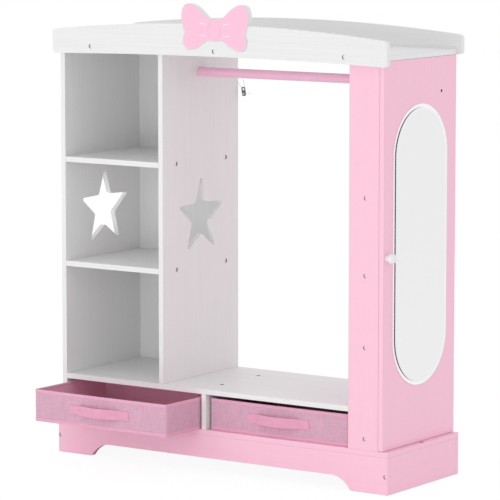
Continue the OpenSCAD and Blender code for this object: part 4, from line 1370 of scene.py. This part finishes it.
    def outline(self) -> tuple[list[Vector], list[Vector]]:
        """Walks round the bin's widest outline.

        Returns:
            The spots, a stitch apart, and the way that each faces.
        """
        corners = [(self.high.x, self.low.y), (self.high.x, self.high.y), (self.low.x, self.high.y),
                   (self.low.x, self.low.y)]
        size = self.size
        spots, facings = [], []
        for turn, (x, y) in enumerate(corners):
            quarter = math.radians(90 * turn - 90)
            inward = Vector((math.copysign(1, self.low.x + size.x / 2 - x),
                             math.copysign(1, self.low.y + size.y / 2 - y), 0.0))
            hub = Vector((x, y, 0.0)) + inward * self.corner
            for share in shares(4):
                angle = quarter + math.radians(90) * share
                way = Vector((math.cos(angle), math.sin(angle), 0.0))
                spots.append(hub + way * self.corner)
                facings.append(way)
            run = (size.y if turn % 2 == 0 else size.x) - 2 * self.corner
            angle = quarter + math.radians(90)
            way = Vector((math.cos(angle), math.sin(angle), 0.0))
            ahead = Vector((-way.y, way.x, 0.0))
            start = hub + way * self.corner
            for share in shares(int(run / self.stitch_step)):
                spots.append(start + ahead * (run * share))
                facings.append(way)
        return spots, facings

    def sew_round(self, part: str, height: float) -> None:
        """Sews one row of stitches round the bin.

        Args:
            part: The name of the row.
            height: How high it runs.
        """
        spots, facings = self.outline()
        placed = []
        for spot, way in zip(spots, facings):
            here = Vector((spot.x, spot.y, height))
            here += self.slack(here)
            placed.append((here, way, Vector((-way.y, way.x, 0.0))))
        stitches = sew_row(self.node(part), placed, self.stitch_step * self.stitch_share, self.thread)
        self.hand_over(stitches, THREAD, "binding_fabric")

    def lay_insert(self) -> None:
        """Lays the covered stiffener on the floor of the bin."""
        low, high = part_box(self.node("insert"))
        clear_selection()
        bpy.ops.mesh.primitive_cube_add(size=1.0, location=(low + high) / 2, scale=high - low)
        board = named(self.node("floor_board"))
        edit_select(board, edges=lambda edge: abs(edge.verts[0].co.z - edge.verts[1].co.z) > CLOSE)
        bpy.ops.mesh.bevel(offset=4.0 * MM, segments=4, affect="EDGES")
        edit_select(board, faces=lambda face: face.normal.z > SQUARE_ON)
        bpy.ops.mesh.inset(thickness=1.2 * MM)
        bpy.ops.transform.translate(value=(0.0, 0.0, 0.4 * MM))
        leave_edit()
        ease(board, 0.5 * MM, 2, 30)
        lay_out(board)
        smooth(board)
        # The floor board wears the lighter copy of the cloth, as painted light.
        self.hand_over(board, BIN_CLOTH_PAINTED_LIGHT, "insert_board", "insert")

    def strap_line(self, along: float) -> tuple[float, float]:
        """Where the strap's middle runs: how far it stands off the wall, and its slope.

        Args:
            along: The distance from the strap's middle.

        Returns:
            How far it stands off, and the slope there.
        """
        rise = self.strap_high.y - self.strap_low.y - self.strap_thick
        if abs(along) >= self.free:
            return 0.0, 0.0
        return rise * (1 - (along / self.free) ** 2), -2 * rise * along / self.free ** 2

    def width_at(self, along: float) -> float:
        """How wide the strap is at a distance from its middle: the ends are drawn in by their seams."""
        drawn = held((self.free - abs(along)) / self.gather)
        return self.end_width + (self.strap_width - self.end_width) * drawn ** 0.7

    def sew_handle(self) -> None:
        """Makes the strap, flat at both ends and bowed out between them, and its stitches."""
        clear_selection()
        bpy.ops.mesh.primitive_grid_add(x_subdivisions=100, y_subdivisions=8, size=1.0, calc_uvs=True)
        strap = named(self.node("strap"))
        for vertex in strap.data.vertices:
            along = vertex.co.x * self.length
            off = self.strap_line(along)[0]
            up = vertex.co.y * self.width_at(along)
            here = Vector((self.strap_x + along, self.strap_high.y, self.strap_z + up))
            sag = self.slack(Vector((here.x, self.low.y, here.z)))
            belly = -off * 0.06 * (1 - 4 * vertex.co.y ** 2)
            vertex.co = here + Vector((0.0, sag.y - off - self.strap_thick / 2 + belly, 0.0))
        layer = strap.data.uv_layers[0]
        layer.name = "laid"
        for corner in layer.data:
            corner.uv = (corner.uv[0] * self.length, corner.uv[1] * self.strap_width)
        strap.data.update()
        modify(strap, "SOLIDIFY", thickness=self.strap_thick, offset=0.0)
        ease(strap, 0.6 * MM, 2)
        smooth(strap, 50)
        self.hand_over(strap, STRAP_WEB, "strap_fabric", "handle")
        self.sew_strap()

    def sew_strap(self) -> None:
        """Sews the strap's two edge rows and the crossed box at each end."""
        placed = []

        def place(along: float, up: float, way_x: float, way_z: float) -> None:
            """Puts one stitch on the strap's front.

            Args:
                along: How far it is from the strap's middle.
                up: How far it is above the strap's middle.
                way_x: How far it runs across.
                way_z: How far it runs up.
            """
            off, slope = self.strap_line(along)
            ahead = Vector((way_x, -slope * way_x, way_z)).normalized()
            out = Vector((-slope, -1.0, 0.0)).normalized()
            sag = self.slack(Vector((self.strap_x + along, self.low.y, self.strap_z + up)))
            here = Vector((self.strap_x + along, self.strap_high.y + sag.y - off - self.strap_thick / 2,
                           self.strap_z + up)) + out * self.strap_thick / 2
            placed.append((here, out, ahead))

        half, edge = self.length / 2, self.end_width / 2 - self.edge_in
        for row in (-edge, edge):
            for share in shares(int(self.length / self.stitch_step)):
                place(-half + self.length * share, row, 1.0, 0.0)
        for side in (-1, 1):
            outer, inner = side * (half - self.box_in), side * (self.free + self.box_in)
            for column in (outer, inner):
                for share in shares(int(2 * edge / self.stitch_step)):
                    place(column, edge * (2 * share - 1), 0.0, 1.0)
            for tilt in (-1, 1):
                for share in shares(int(math.hypot(outer - inner, 2 * edge) / self.stitch_step)):
                    place(inner + (outer - inner) * share, tilt * edge * (2 * share - 1),
                          outer - inner, tilt * 2 * edge)
        stitches = sew_row(self.node("strap_stitches"), placed, self.stitch_step * self.stitch_share,
                           self.strap_thread)
        self.hand_over(stitches, THREAD, "strap_fabric")


def sew_row(name: str, placed: Sequence[tuple[Vector, Vector, Vector]], length: float,
            thick: float) -> Piece:
    """Models one stitch and copies it to each place.

    Args:
        name: The name of the row.
        placed: For each stitch its spot, the way out of the cloth and the way along it.
        length: The length of a stitch.
        thick: The thickness of the thread.

    Returns:
        The row as one piece.
    """
    clear_selection()
    bpy.ops.mesh.primitive_uv_sphere_add(segments=6, ring_count=4, radius=0.5, calc_uvs=True)
    row = named(name)
    row.data.uv_layers[0].name = "laid"
    sized = Matrix.Diagonal((length, thick, thick, 1.0))
    repeat(row, [Matrix.Translation(spot)
                 @ Matrix((ahead, out.cross(ahead).normalized(), out)).transposed().to_4x4() @ sized
                 for spot, out, ahead in placed])
    smooth(row, 80)
    return row


# ---- main


def main() -> None:
    """Builds the whole unit, the room and the camera, in order."""
    finishes = Finishes()
    studio = Studio()
    studio.set_camera()
    WallTether(finishes).build()
    Carcass(finishes).build()
    Hardware(finishes).build()
    MirrorDoor(finishes).build()
    for place in BinPlace:
        FabricBin(finishes, place).build()
    studio.light_room()
    studio.lay_floor()
    clear_selection()


if __name__ == "__main__":
    main()
